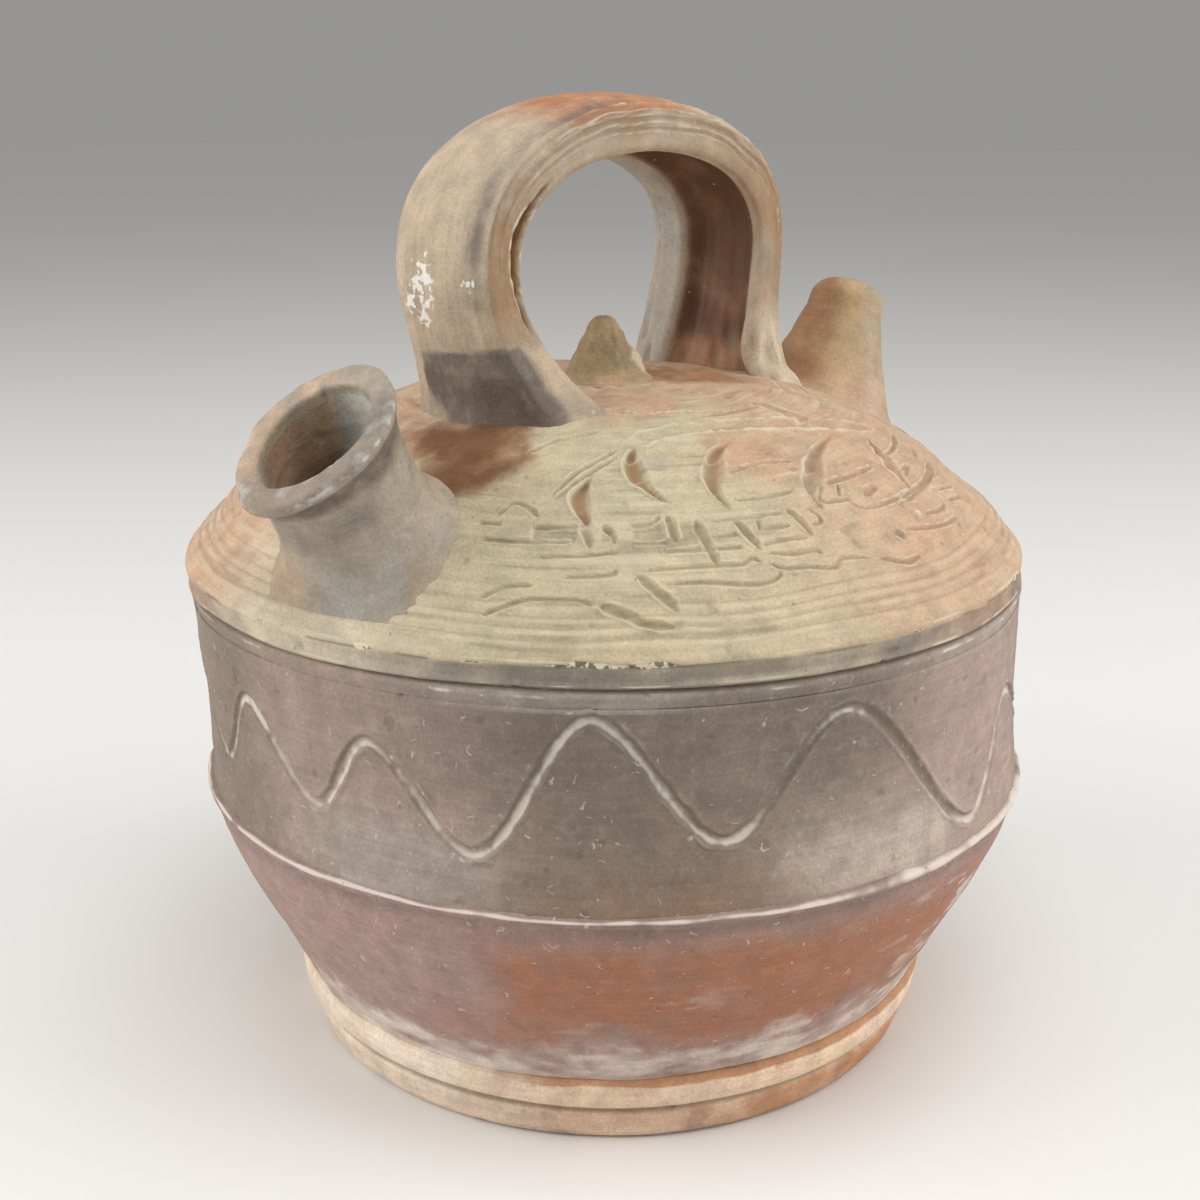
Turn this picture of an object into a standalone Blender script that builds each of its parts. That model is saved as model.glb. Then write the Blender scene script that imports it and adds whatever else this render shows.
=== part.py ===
"""A closed earthenware drinking jug, made of luted pieces.

Origin at the middle of the flat underside, +Z up. The handle stands in the XZ plane, the wide
filling spout is at -X and the slim drinking spout at +X.
"""

import math

import bmesh
import bpy
from mathutils import Vector

MM = 0.001

# Shared sizes of the clay and its joints
WALL = 6.5 * MM
SLIP_GAP = 0.3 * MM
EDGE_ROUND = 1.2 * MM

# Foot: a shallow dish that carries the belly
FOOT_RADIUS = 83.0 * MM
FOOT_BAND_RADIUS = 87.7 * MM
FOOT_HEIGHT = 19.2 * MM
FLOOR_THICKNESS = 8.0 * MM
FOOT_GROOVE_Z = 9.5 * MM
FOOT_GROOVE_DEPTH = 1.2 * MM
FOOT_GROOVE_WIDTH = 3.2 * MM

# Belly: the flaring lower wall, ending in a proud seam ridge
BELLY_STEP = 0.7 * MM
SEAM_INSET = 0.3 * MM
SEAM_Z = 73.8 * MM
SEAM_RIDGE = 1.2 * MM
SEAM_RIDGE_HEIGHT = 2.4 * MM
BELLY_FULLNESS = 4.5 * MM
BELLY_LOW_PULL = 0.33
BELLY_HIGH_PULL = 0.67

# Drum: the nearly upright wall, a little drawn in at its waist
DRUM_WAIST = 0.9 * MM
SHOULDER_OVERHANG = 0.3 * MM

# Dome: upright rim band, then a full curve to the apex
SHOULDER_RADIUS = 110.0 * MM
SHOULDER_Z = 133.4 * MM
RIM_BAND = 6.8 * MM
DOME_RISE = 41.6 * MM
DOME_FULLNESS = 3.1

# Knob: a pointed button whose tenon plugs the apex
KNOB_RADIUS = 9.8 * MM
KNOB_HEIGHT = 15.5 * MM
KNOB_POINT = 1.15
TENON_RADIUS = 6.0 * MM

# Handle: a strap with rolled edges and a hollowed inner face
HANDLE_RISE = 71.5 * MM
HANDLE_SHIFT = 2.2 * MM
HANDLE_SPAN = 105.0 * MM
HANDLE_WIDEST_DROP = 31.0 * MM
HANDLE_FILL_REACH = 39.0 * MM
HANDLE_POUR_REACH = 44.5 * MM
LEG_FOOT_PULL = 0.5
LEG_TOP_PULL = 0.35
ARCH_RISE_PULL = 0.6
ARCH_CROWN_PULL = 0.42
STRAP_FILL_WIDTH = 32.0 * MM
STRAP_POUR_WIDTH = 38.0 * MM
STRAP_THICKNESS = 15.0 * MM
STRAP_HOLLOW = 4.8 * MM
STRAP_HOLLOW_SPAN = 0.75
STRAP_ROUND = 3.4
STRAP_FILL_FOOT_WIDTH = 38.0 * MM
STRAP_POUR_FOOT_WIDTH = 52.0 * MM
STRAP_FOOT_THICKNESS = 22.0 * MM
STRAP_FOOT_HEIGHT = 34.0 * MM

# Filling spout: wide neck, flared lip drawn out on its outer side
FILL_TURN = math.radians(184.0)
FILL_INSET = 18.5 * MM
FILL_LENGTH = 29.5 * MM
FILL_NECK_AT = 15.0 * MM
FILL_LEAN = math.radians(30.0)
FILL_MOUTH_LEAN = math.radians(42.0)
FILL_MOUTH_TWIST = math.radians(-8.0)
FILL_SKIRT_RADIUS = 23.5 * MM
FILL_SKIRT_SWEEP = 2.4
FILL_NECK_RADIUS = 16.8 * MM
FILL_LIP_RADIUS = 20.2 * MM
FILL_LIP_DRAW = 2.0 * MM
FILL_LIP_CREST = 0.55
FILL_BORE_RADIUS = 12.6 * MM
FILL_MOUTH_RADIUS = 14.5 * MM

# Drinking spout: tapered tube with a small mouth
POUR_TURN = math.radians(-6.0)
POUR_INSET = 20.0 * MM
POUR_LENGTH = 41.4 * MM
POUR_NECK_AT = 30.0 * MM
POUR_LEAN = math.radians(20.0)
POUR_SKIRT_RADIUS = 27.0 * MM
POUR_SKIRT_SWEEP = 1.9
POUR_NECK_RADIUS = 11.2 * MM
POUR_TIP_RADIUS = 10.9 * MM
POUR_TIP_ROUND = 6.4 * MM
POUR_TIP_CLOSE = 0.75
POUR_BORE_AT = 16.5 * MM
POUR_BORE_RADIUS = 9.0 * MM
POUR_BORE_TAPER = 0.7
POUR_MOUTH_RADIUS = 4.0 * MM

# How finely the curves are divided
BODY_SEGMENTS = 64
SPOUT_SEGMENTS = 32
KNOB_SEGMENTS = 24
KNOB_STEPS = 7
BELLY_STEPS = 6
DRUM_STEPS = 4
DOME_STEPS = 10
HANDLE_STEPS = 18
STRAP_POINTS = 24
SKIRT_SHARES = (0.0, 0.12, 0.28, 0.5, 0.75, 1.0)
LIP_SHARES = (0.3, 0.6, 0.85, 1.0)
TIP_SHARES = (0.0, 0.5, 0.85, 1.0)

# Places that follow from the sizes above
SEAM_RADIUS = SHOULDER_RADIUS - SEAM_INSET
DOME_TOP_Z = SHOULDER_Z + DOME_RISE
DOME_SEAT_Z = SHOULDER_Z - RIM_BAND
TENON_HOLE_RADIUS = TENON_RADIUS + SLIP_GAP


def clear_scene():
    for item in list(bpy.data.objects):
        bpy.data.objects.remove(item, do_unlink=True)


def clay(name, colour, roughness):
    material = bpy.data.materials.new(name)
    material.use_nodes = True
    shader = material.node_tree.nodes["Principled BSDF"]
    shader.inputs["Base Color"].default_value = (*colour, 1.0)
    shader.inputs["Roughness"].default_value = roughness
    shader.inputs["Metallic"].default_value = 0.0
    return material


def add_object(name, mesh_data, material):
    bmesh.ops.remove_doubles(mesh_data, verts=mesh_data.verts, dist=1e-6)
    bmesh.ops.recalc_face_normals(mesh_data, faces=mesh_data.faces)
    mesh = bpy.data.meshes.new(name)
    mesh_data.to_mesh(mesh)
    mesh_data.free()
    mesh.shade_smooth()
    mesh.set_sharp_from_angle(angle=math.radians(38.0))
    item = bpy.data.objects.new(name, mesh)
    bpy.context.scene.collection.objects.link(item)
    if material:
        mesh.materials.append(material)
    return item


def turn(name, profile, segments, material=None):
    """Spin a closed (radius, height) outline once round Z."""
    data = bmesh.new()
    verts = [data.verts.new((radius, 0.0, height)) for radius, height in profile]
    edges = [data.edges.new((verts[i - 1], verts[i])) for i in range(1, len(verts))]
    if profile[0][0] > 0.0 or profile[-1][0] > 0.0:
        edges.append(data.edges.new((verts[-1], verts[0])))
    bmesh.ops.spin(
        data, geom=verts + edges, cent=(0, 0, 0), axis=(0, 0, 1), angle=math.tau, steps=segments
    )
    return add_object(name, data, material)


def loft(name, rings, material=None, closed=False):
    """Skin a row of rings with equal counts. A closed row returns to its first ring."""
    data = bmesh.new()
    rows = [[data.verts.new(point) for point in ring] for ring in rings]
    pairs = list(zip(rows, rows[1:]))
    if closed:
        pairs.append((rows[-1], rows[0]))
    for low, high in pairs:
        for i in range(len(low)):
            data.faces.new((low[i - 1], low[i], high[i], high[i - 1]))
    if not closed:
        data.faces.new(rows[0])
        data.faces.new(rows[-1])
    return add_object(name, data, material)


def cut(item, cutter):
    cutter.hide_render = True
    cutter.display_type = "WIRE"
    modifier = item.modifiers.new("cut by " + cutter.name, "BOOLEAN")
    modifier.operation = "DIFFERENCE"
    modifier.solver = "EXACT"
    modifier.object = cutter


def between(start, end, share):
    return start + (end - start) * share


def ease(share):
    share = min(max(share, 0.0), 1.0)
    return share * share * (3.0 - 2.0 * share)


def bezier(points, steps):
    curve = []
    for i in range(steps + 1):
        t = i / steps
        weights = ((1 - t) ** 3, 3 * t * (1 - t) ** 2, 3 * t * t * (1 - t), t**3)
        curve.append(tuple(sum(w * p[axis] for w, p in zip(weights, points)) for axis in (0, 1)))
    return curve


def dome_height(radius):
    return DOME_TOP_Z - DOME_RISE * (radius / SHOULDER_RADIUS) ** DOME_FULLNESS


def dome_lean(radius):
    """Angle between the dome's outward normal and Z."""
    slope = DOME_RISE * DOME_FULLNESS / SHOULDER_RADIUS
    return math.atan(slope * (radius / SHOULDER_RADIUS) ** (DOME_FULLNESS - 1.0))


def dome_line(first_radius, lift):
    """The dome's line from first_radius out to its edge, moved along its normal by lift."""
    line = []
    for i in range(DOME_STEPS + 1):
        radius = between(first_radius, SHOULDER_RADIUS, i / DOME_STEPS)
        lean = dome_lean(radius)
        line.append((radius + lift * math.sin(lean), dome_height(radius) + lift * math.cos(lean)))
    return line


def foot_base(material):
    rim_radius = FOOT_BAND_RADIUS - BELLY_STEP
    groove_half = FOOT_GROOVE_WIDTH / 2
    groove_radius = between(FOOT_RADIUS, FOOT_BAND_RADIUS, FOOT_GROOVE_Z / FOOT_HEIGHT)
    inner_rim = rim_radius - WALL
    inner_floor = FOOT_RADIUS - WALL
    profile = [
        (0.0, 0.0),
        (FOOT_RADIUS - EDGE_ROUND, 0.0),
        (FOOT_RADIUS, EDGE_ROUND),
        (groove_radius, FOOT_GROOVE_Z - groove_half),
        (groove_radius - FOOT_GROOVE_DEPTH, FOOT_GROOVE_Z),
        (groove_radius + FOOT_GROOVE_DEPTH, FOOT_GROOVE_Z + groove_half),
        (FOOT_BAND_RADIUS, between(FOOT_GROOVE_Z + groove_half, FOOT_HEIGHT, 0.5)),
        (FOOT_BAND_RADIUS, FOOT_HEIGHT - EDGE_ROUND),
        (rim_radius, FOOT_HEIGHT),
        (inner_rim, FOOT_HEIGHT),
        (inner_floor, between(FLOOR_THICKNESS, FOOT_HEIGHT, 0.25)),
        (inner_floor - WALL, FLOOR_THICKNESS),
        (0.0, FLOOR_THICKNESS),
    ]
    return turn("foot_base", profile, BODY_SEGMENTS, material)


def belly_wall(material):
    low = (FOOT_BAND_RADIUS - BELLY_STEP, FOOT_HEIGHT + SLIP_GAP)
    high = (SEAM_RADIUS, SEAM_Z - SEAM_RIDGE_HEIGHT)
    controls = [
        low,
        (between(low[0], high[0], BELLY_LOW_PULL), between(low[1], high[1], BELLY_LOW_PULL)),
        (
            between(low[0], high[0], BELLY_HIGH_PULL) + BELLY_FULLNESS,
            between(low[1], high[1], BELLY_HIGH_PULL),
        ),
        high,
    ]
    outer = bezier(controls, BELLY_STEPS)
    inner = [(radius - WALL, height) for radius, height in outer]
    ridge = [
        (SEAM_RADIUS + SEAM_RIDGE, SEAM_Z - SEAM_RIDGE_HEIGHT / 2),
        (SEAM_RADIUS + SEAM_RIDGE / 2, SEAM_Z),
    ]
    inner_top = (SEAM_RADIUS - WALL, SEAM_Z)
    return turn("belly_wall", outer + ridge + [inner_top] + inner[::-1], BODY_SEGMENTS, material)


def drum_wall(material):
    low_z = SEAM_Z + SLIP_GAP
    high_z = DOME_SEAT_Z - SLIP_GAP
    top_radius = SHOULDER_RADIUS - SHOULDER_OVERHANG
    outer = []
    for i in range(DRUM_STEPS + 1):
        share = i / DRUM_STEPS
        waist = DRUM_WAIST * 4 * share * (1 - share)
        height = between(low_z, high_z - EDGE_ROUND, share)
        outer.append((between(SEAM_RADIUS, top_radius, share) - waist, height))
    inner = [(radius - WALL, height) for radius, height in outer]
    lip = [(top_radius - EDGE_ROUND, high_z), (top_radius - WALL, high_z)]
    return turn("drum_wall", outer + lip + inner[::-1], BODY_SEGMENTS, material)


def shoulder_dome(material):
    outer = dome_line(TENON_HOLE_RADIUS, 0.0)
    rim = [
        (SHOULDER_RADIUS, DOME_SEAT_Z + EDGE_ROUND),
        (SHOULDER_RADIUS - EDGE_ROUND, DOME_SEAT_Z),
        (SHOULDER_RADIUS - WALL - SHOULDER_OVERHANG, DOME_SEAT_Z),
    ]
    limit = SHOULDER_RADIUS - WALL - SHOULDER_OVERHANG
    inner = [p for p in dome_line(TENON_HOLE_RADIUS, -WALL) if p[0] < limit and p[1] > DOME_SEAT_Z]
    inner[0] = (TENON_HOLE_RADIUS, inner[0][1])
    return turn("shoulder_dome", outer + rim + inner[::-1], BODY_SEGMENTS, material)


def dome_envelope():
    """Solid that fills the dome's outside, one slip gap proud: it shapes every seat on the dome."""
    line = dome_line(0.0, SLIP_GAP)
    return turn("dome_envelope", [(0.0, 0.0)] + [(line[-1][0], 0.0)] + line[::-1], BODY_SEGMENTS)


def top_knob(material):
    seat_z = DOME_TOP_Z + SLIP_GAP
    profile = [(0.0, DOME_TOP_Z - WALL), (TENON_RADIUS, DOME_TOP_Z - WALL), (TENON_RADIUS, seat_z)]
    for i in range(KNOB_STEPS):
        share = i / KNOB_STEPS
        radius = KNOB_RADIUS * math.cos(share * math.pi / 2) ** KNOB_POINT
        profile.append((radius, seat_z + KNOB_HEIGHT * share))
    profile.append((0.0, seat_z + KNOB_HEIGHT))
    return turn("top_knob", profile, KNOB_SEGMENTS, material)


def handle_path():
    """Centre line in the XZ plane, from the filling side's foot over the crown to the other foot."""
    crown = (-HANDLE_SHIFT, DOME_TOP_Z + HANDLE_RISE - STRAP_THICKNESS / 2)
    path = []
    for side in (-1, 1):
        widest = (side * HANDLE_SPAN / 2 - HANDLE_SHIFT, crown[1] - HANDLE_WIDEST_DROP)
        foot_x = -HANDLE_FILL_REACH if side < 0 else HANDLE_POUR_REACH
        foot = (foot_x, dome_height(abs(foot_x)) - STRAP_THICKNESS)
        rise = widest[1] - foot[1]
        leg = [
            foot,
            (foot[0], foot[1] + rise * LEG_FOOT_PULL),
            (widest[0], widest[1] - rise * LEG_TOP_PULL),
            widest,
        ]
        arch = [
            widest,
            (widest[0], widest[1] + HANDLE_WIDEST_DROP * ARCH_RISE_PULL),
            (between(widest[0], crown[0], ARCH_CROWN_PULL), crown[1]),
            crown,
        ]
        half = bezier(leg, HANDLE_STEPS // 2) + bezier(arch, HANDLE_STEPS // 2)[1:]
        path += half if side < 0 else half[-2::-1]
    return path


def strap_section(x, spread):
    """Outline across the strap: (sideways, outward), with the inner face hollowed."""
    width = between(STRAP_FILL_WIDTH, STRAP_POUR_WIDTH, ease(x / HANDLE_SPAN + 0.5))
    foot_width = STRAP_FILL_FOOT_WIDTH if x < 0 else STRAP_POUR_FOOT_WIDTH
    half_width = between(width, foot_width, spread) / 2
    half_depth = between(STRAP_THICKNESS, STRAP_FOOT_THICKNESS, spread) / 2
    section = []
    for i in range(STRAP_POINTS):
        angle = math.tau * i / STRAP_POINTS
        power = 2.0 / STRAP_ROUND
        side = math.copysign(abs(math.cos(angle)) ** power, math.cos(angle))
        depth = math.copysign(abs(math.sin(angle)) ** power, math.sin(angle))
        hollow = STRAP_HOLLOW * max(0.0, 1.0 - (side / STRAP_HOLLOW_SPAN) ** 2) if depth < 0 else 0.0
        section.append((side * half_width, depth * half_depth + hollow))
    return section


def handle(material, envelope):
    path = handle_path()
    rings = []
    for i, (x, z) in enumerate(path):
        before = path[max(i - 1, 0)]
        after = path[min(i + 1, len(path) - 1)]
        along = Vector((after[0] - before[0], 0.0, after[1] - before[1])).normalized()
        outward = Vector((-along.z, 0.0, along.x))
        above_dome = z - dome_height(abs(x))
        spread = (1.0 - ease(above_dome / STRAP_FOOT_HEIGHT)) ** 2
        centre = Vector((x, 0.0, z))
        section = strap_section(x, spread)
        rings.append([centre + Vector((0, side, 0)) + outward * depth for side, depth in section])
    item = loft("handle", rings, material)
    cut(item, envelope)
    return item


class SpoutAxis:
    """A straight centre line that leaves the dome, with ring planes that lean along its length."""

    def __init__(self, turn_angle, inset, lean):
        radius = SHOULDER_RADIUS - inset
        self.turn_angle = turn_angle
        self.foot = self.outward() * radius + Vector((0, 0, dome_height(radius)))
        self.along = self.direction(lean)
        self.foot_lean = dome_lean(radius)

    def outward(self, twist=0.0):
        angle = self.turn_angle + twist
        return Vector((math.cos(angle), math.sin(angle), 0.0))

    def direction(self, lean, twist=0.0):
        return self.outward(twist) * math.sin(lean) + Vector((0, 0, math.cos(lean)))

    def ring(self, distance, radius, lean, draw=0.0, twist=0.0):
        """Circle round the axis. A positive draw pulls its outer side outward."""
        centre = self.foot + self.along * distance
        sideways = self.outward(twist + math.pi / 2)
        down = sideways.cross(self.direction(lean, twist))
        points = []
        for i in range(SPOUT_SEGMENTS):
            angle = math.tau * i / SPOUT_SEGMENTS
            reach = radius + draw * max(0.0, math.cos(angle)) ** 2
            across = sideways * (radius * math.sin(angle))
            points.append(centre + down * (reach * math.cos(angle)) + across)
        return points

    def skirt(self, length, lean, skirt_radius, neck_radius, sweep):
        """Rings of a spread foot: full at the dome, drawn in to the neck."""
        rings = [self.ring(-2 * WALL, skirt_radius, self.foot_lean)]
        for share in SKIRT_SHARES:
            radius = between(skirt_radius, neck_radius, 1.0 - (1.0 - share) ** sweep)
            rings.append(self.ring(length * share, radius, between(self.foot_lean, lean, ease(share))))
        return rings


def filling_spout(material, envelope):
    axis = SpoutAxis(FILL_TURN, FILL_INSET, FILL_LEAN)
    lip_at = FILL_LENGTH - WALL / 2
    rings = axis.skirt(FILL_NECK_AT, FILL_LEAN, FILL_SKIRT_RADIUS, FILL_NECK_RADIUS, FILL_SKIRT_SWEEP)
    for share in LIP_SHARES:
        lean = between(FILL_LEAN, FILL_MOUTH_LEAN, ease(share))
        radius = between(FILL_NECK_RADIUS, FILL_LIP_RADIUS, share * share)
        distance = between(FILL_NECK_AT, lip_at, share)
        rings.append(axis.ring(distance, radius, lean, FILL_LIP_DRAW * share, FILL_MOUTH_TWIST * share))
    crest = between(FILL_MOUTH_RADIUS, FILL_LIP_RADIUS, FILL_LIP_CREST)
    rings.append(axis.ring(FILL_LENGTH, crest, FILL_MOUTH_LEAN, FILL_LIP_DRAW, FILL_MOUTH_TWIST))
    inner_draw = FILL_LIP_DRAW / 2
    rings.append(axis.ring(lip_at, FILL_MOUTH_RADIUS, FILL_MOUTH_LEAN, inner_draw, FILL_MOUTH_TWIST))
    for distance in (FILL_NECK_AT, 0.0, -2 * WALL):
        rings.append(axis.ring(distance, FILL_BORE_RADIUS, FILL_LEAN))
    item = loft("filling_spout", rings, material, closed=True)
    cut(item, envelope)
    return item


def drinking_spout(material, envelope):
    axis = SpoutAxis(POUR_TURN, POUR_INSET, POUR_LEAN)
    tip_at = POUR_LENGTH - POUR_TIP_ROUND
    rings = axis.skirt(POUR_NECK_AT, POUR_LEAN, POUR_SKIRT_RADIUS, POUR_NECK_RADIUS, POUR_SKIRT_SWEEP)
    for share in TIP_SHARES:
        closing = math.sqrt(1.0 - POUR_TIP_CLOSE * share * share)
        radius = between(POUR_MOUTH_RADIUS, POUR_TIP_RADIUS, closing)
        rings.append(axis.ring(between(tip_at, POUR_LENGTH, share), radius, POUR_LEAN))
    throat_radius = between(POUR_MOUTH_RADIUS, POUR_BORE_RADIUS, POUR_BORE_TAPER)
    rings.append(axis.ring(tip_at, POUR_MOUTH_RADIUS, POUR_LEAN))
    rings.append(axis.ring(POUR_BORE_AT, throat_radius, POUR_LEAN))
    for distance in (0.0, -2 * WALL):
        rings.append(axis.ring(distance, POUR_BORE_RADIUS, POUR_LEAN))
    item = loft("drinking_spout", rings, material, closed=True)
    cut(item, envelope)
    return item


def pierce(dome, name, axis, radius, lean):
    """Hole through the dome, in line with the bore of the spout above it."""
    drill = loft(name, [axis.ring(-4 * WALL, radius, lean), axis.ring(2 * WALL, radius, lean)])
    cut(dome, drill)


def main():
    clear_scene()
    foot_clay = clay("pale_foot_clay", (0.60, 0.42, 0.27), 0.85)
    belly_clay = clay("belly_clay", (0.35, 0.19, 0.14), 0.82)
    drum_clay = clay("drum_clay", (0.30, 0.23, 0.18), 0.80)
    dome_clay = clay("dusty_dome_clay", (0.53, 0.44, 0.30), 0.88)
    knob_clay = clay("knob_clay", (0.33, 0.25, 0.15), 0.88)
    strap_clay = clay("strap_clay", (0.45, 0.33, 0.22), 0.80)
    fill_clay = clay("filling_spout_clay", (0.32, 0.27, 0.21), 0.80)
    pour_clay = clay("drinking_spout_clay", (0.42, 0.29, 0.17), 0.82)

    foot_base(foot_clay)
    belly_wall(belly_clay)
    drum_wall(drum_clay)
    dome = shoulder_dome(dome_clay)
    top_knob(knob_clay)

    envelope = dome_envelope()
    handle(strap_clay, envelope)
    filling_spout(fill_clay, envelope)
    drinking_spout(pour_clay, envelope)

    fill_axis = SpoutAxis(FILL_TURN, FILL_INSET, FILL_LEAN)
    pour_axis = SpoutAxis(POUR_TURN, POUR_INSET, POUR_LEAN)
    pierce(dome, "fill_drill", fill_axis, FILL_BORE_RADIUS, FILL_LEAN)
    pierce(dome, "pour_drill", pour_axis, POUR_BORE_RADIUS, POUR_LEAN)


main()
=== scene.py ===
"""Looks of the spouted water jug: hand-thrown, smoke-stained earthenware with carved ornament.

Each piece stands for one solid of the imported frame. Lengths are in millimetres, in the frame's own
axes, and angles are in degrees round Z from +X. They turn into metres when a mesh is made.
"""

import math

import bpy
import numpy as np
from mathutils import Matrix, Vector


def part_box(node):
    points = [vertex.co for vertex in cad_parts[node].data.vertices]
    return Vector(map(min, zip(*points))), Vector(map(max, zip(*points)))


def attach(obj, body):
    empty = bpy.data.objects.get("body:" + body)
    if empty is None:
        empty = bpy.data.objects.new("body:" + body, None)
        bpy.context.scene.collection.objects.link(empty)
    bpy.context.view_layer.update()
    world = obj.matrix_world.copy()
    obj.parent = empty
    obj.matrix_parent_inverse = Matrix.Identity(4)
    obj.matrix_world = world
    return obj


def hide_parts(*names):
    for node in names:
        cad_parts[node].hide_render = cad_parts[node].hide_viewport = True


MM = 0.001

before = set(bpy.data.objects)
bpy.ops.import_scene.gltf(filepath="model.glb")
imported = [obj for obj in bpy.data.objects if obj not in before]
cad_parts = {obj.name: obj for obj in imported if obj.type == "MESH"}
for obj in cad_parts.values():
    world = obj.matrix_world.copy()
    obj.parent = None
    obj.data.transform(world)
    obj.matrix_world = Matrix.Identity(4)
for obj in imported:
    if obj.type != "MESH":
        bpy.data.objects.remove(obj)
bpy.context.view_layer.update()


def solid_low(node):
    return np.array(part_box(node)[0]) / MM


def solid_high(node):
    return np.array(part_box(node)[1]) / MM


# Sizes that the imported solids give
SHOULDER_RADIUS = solid_high("shoulder_dome")[1]
DOME_TOP_Z = solid_high("shoulder_dome")[2]
DOME_SEAT_Z = solid_low("shoulder_dome")[2]
SEAM_Z = solid_high("belly_wall")[2]
FOOT_HEIGHT = solid_high("foot_base")[2]
FOOT_BAND_RADIUS = solid_high("foot_base")[1]
HANDLE_TOP_Z = solid_high("handle")[2]
KNOB_TOP_Z = solid_high("top_knob")[2]

# Body
WALL = 6.5
RIM_BAND = 6.8
SHOULDER_Z = DOME_SEAT_Z + RIM_BAND
DOME_FULLNESS = 3.1
DOME_HOLE_RADIUS = 6.3
RIM_GROOVE_DEPTH = 1.7
SEAM_RADIUS = SHOULDER_RADIUS - 0.3
SEAM_RIDGE = 1.2
DRUM_WAIST = 0.9
BELLY_FULLNESS = 4.5
FOOT_RADIUS = 83.0
FLOOR_THICKNESS = 8.0
FOOT_GROOVE_Z = 9.5
KNOB_RADIUS = 9.6

# Handle
HANDLE_SHIFT = 2.2
HANDLE_SPAN = 105.0
HANDLE_WIDEST_DROP = 31.0
HANDLE_REACH = {-1: 39.0, 1: 44.5}
STRAP_WIDTHS = {-1: 32.0, 1: 38.0}
STRAP_THICKNESS = 15.0
STRAP_HOLLOW = 5.2
STRAP_HOLLOW_AT = -0.22
STRAP_HOLLOW_SPAN = 0.68
STRAP_ROUND = 6.0
STRAP_CROWN = 0.2
STRAP_FOOT_WIDTHS = {-1: 32.0, 1: 54.0}
STRAP_FOOT_THICKNESS = {-1: 16.0, 1: 24.0}
STRAP_FOOT_HEIGHT = 30.0
STRAP_SKIRT_AT = {-1: 27.0, 1: 20.0}
STRAP_SKIRT_PULL = 0.42
# How far the strap's feet run out over the dome: all round, and extra towards the front
STRAP_FLARE = {-1: 6.5, 1: 3.0}
STRAP_FRONT_FLARE = {-1: 12.0, 1: 12.0}
STRAP_FOOT_SHIFT = {-1: -3.0, 1: 0.0}
STRAP_FRONT_TURN = -50.0

# Spouts: where they leave the dome, their lean and their radii
FILL = dict(turn=184.0, inset=18.5, lean=30.0, length=29.8, neck_at=15.0, sweep=0.6, cone=1.0)
FILL_RADII = dict(skirt=28.0, neck=16.6, lip=20.2, mouth=14.4, bore=12.6)
FILL_MOUTH_LEAN = 40.0
FILL_MOUTH_TWIST = -10.0
FILL_LIP_DRAW = 1.2
FILL_RIM_RISE = 2.2
POUR = dict(turn=-6.0, inset=20.0, lean=20.0, length=41.4, neck_at=32.0, sweep=0.5, cone=1.38)
POUR_RADII = dict(skirt=33.0, neck=11.1, lip=10.9, mouth=4.0, bore=9.0)
POUR_TIP_ROUND = 6.6
# How far the knob and the edges of the skirts sink into the dome, so that no hairline shows
KNOB_SINK = 0.6
SKIRT_SINK = 2.0

# Fineness of the meshes: steps in millimetres, columns round a piece, and for a finely meshed front
# its first angle, last angle and step
DOME_STEP = 0.42
DOME_TOP_STEP = 1.4
DOME_TOP_EDGE = 40.0
DOME_FRONT = (-166.0, -46.0, 0.22)
DRUM_STEP = 0.8
DRUM_FRONT = (152.0, 312.0, 0.2)
WAVE_ROW_STEP = 0.34
BACK_STEP = 0.6
BELLY_STEP = 0.75
BELLY_COLUMNS = 800
FOOT_COLUMNS = 760
KNOB_COLUMNS = 130
STRAP_STEP = 0.8
STRAP_COLUMNS = 210
STRAP_SKIRT_ROWS = 30
SPOUT_COLUMNS = 170
SKIRT_ROWS = 26

# The hand-made body sways: sideways shift at the foot, the seam and the shoulder
SWAY_DIRECTION = np.array((0.643, -0.766, 0.0))
SWAY_HEIGHTS = (0.0, 74.0, 133.0)
SWAY_SHIFTS = (0.3, 1.2, -1.5)

# Tools, as carve() takes them
LINE_TOOL = dict(half_width=0.7, depth=0.65, burr=0.45, fade=0.12, shade=0.6)
BOLD_TOOL = dict(half_width=0.95, depth=0.95, burr=0.65, lean=0.4, fade=0.2, shade=0.58)
WIDE_TOOL = dict(half_width=2.2, depth=1.1, burr=0.6, fade=0.15, shade=0.45)
CRESCENT_TOOL = dict(half_width=1.6, depth=1.6, burr=0.8, lean=0.9, fade=0.5, shade=0.65)
WAVE_TOOL = dict(half_width=1.55, depth=0.7, burr=0.4, fade=0.002, shade=0.0, pale=0.3)
SLIT_TOOL = dict(half_width=1.8, depth=5.0, burr=0.3, fade=0.5)

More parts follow.
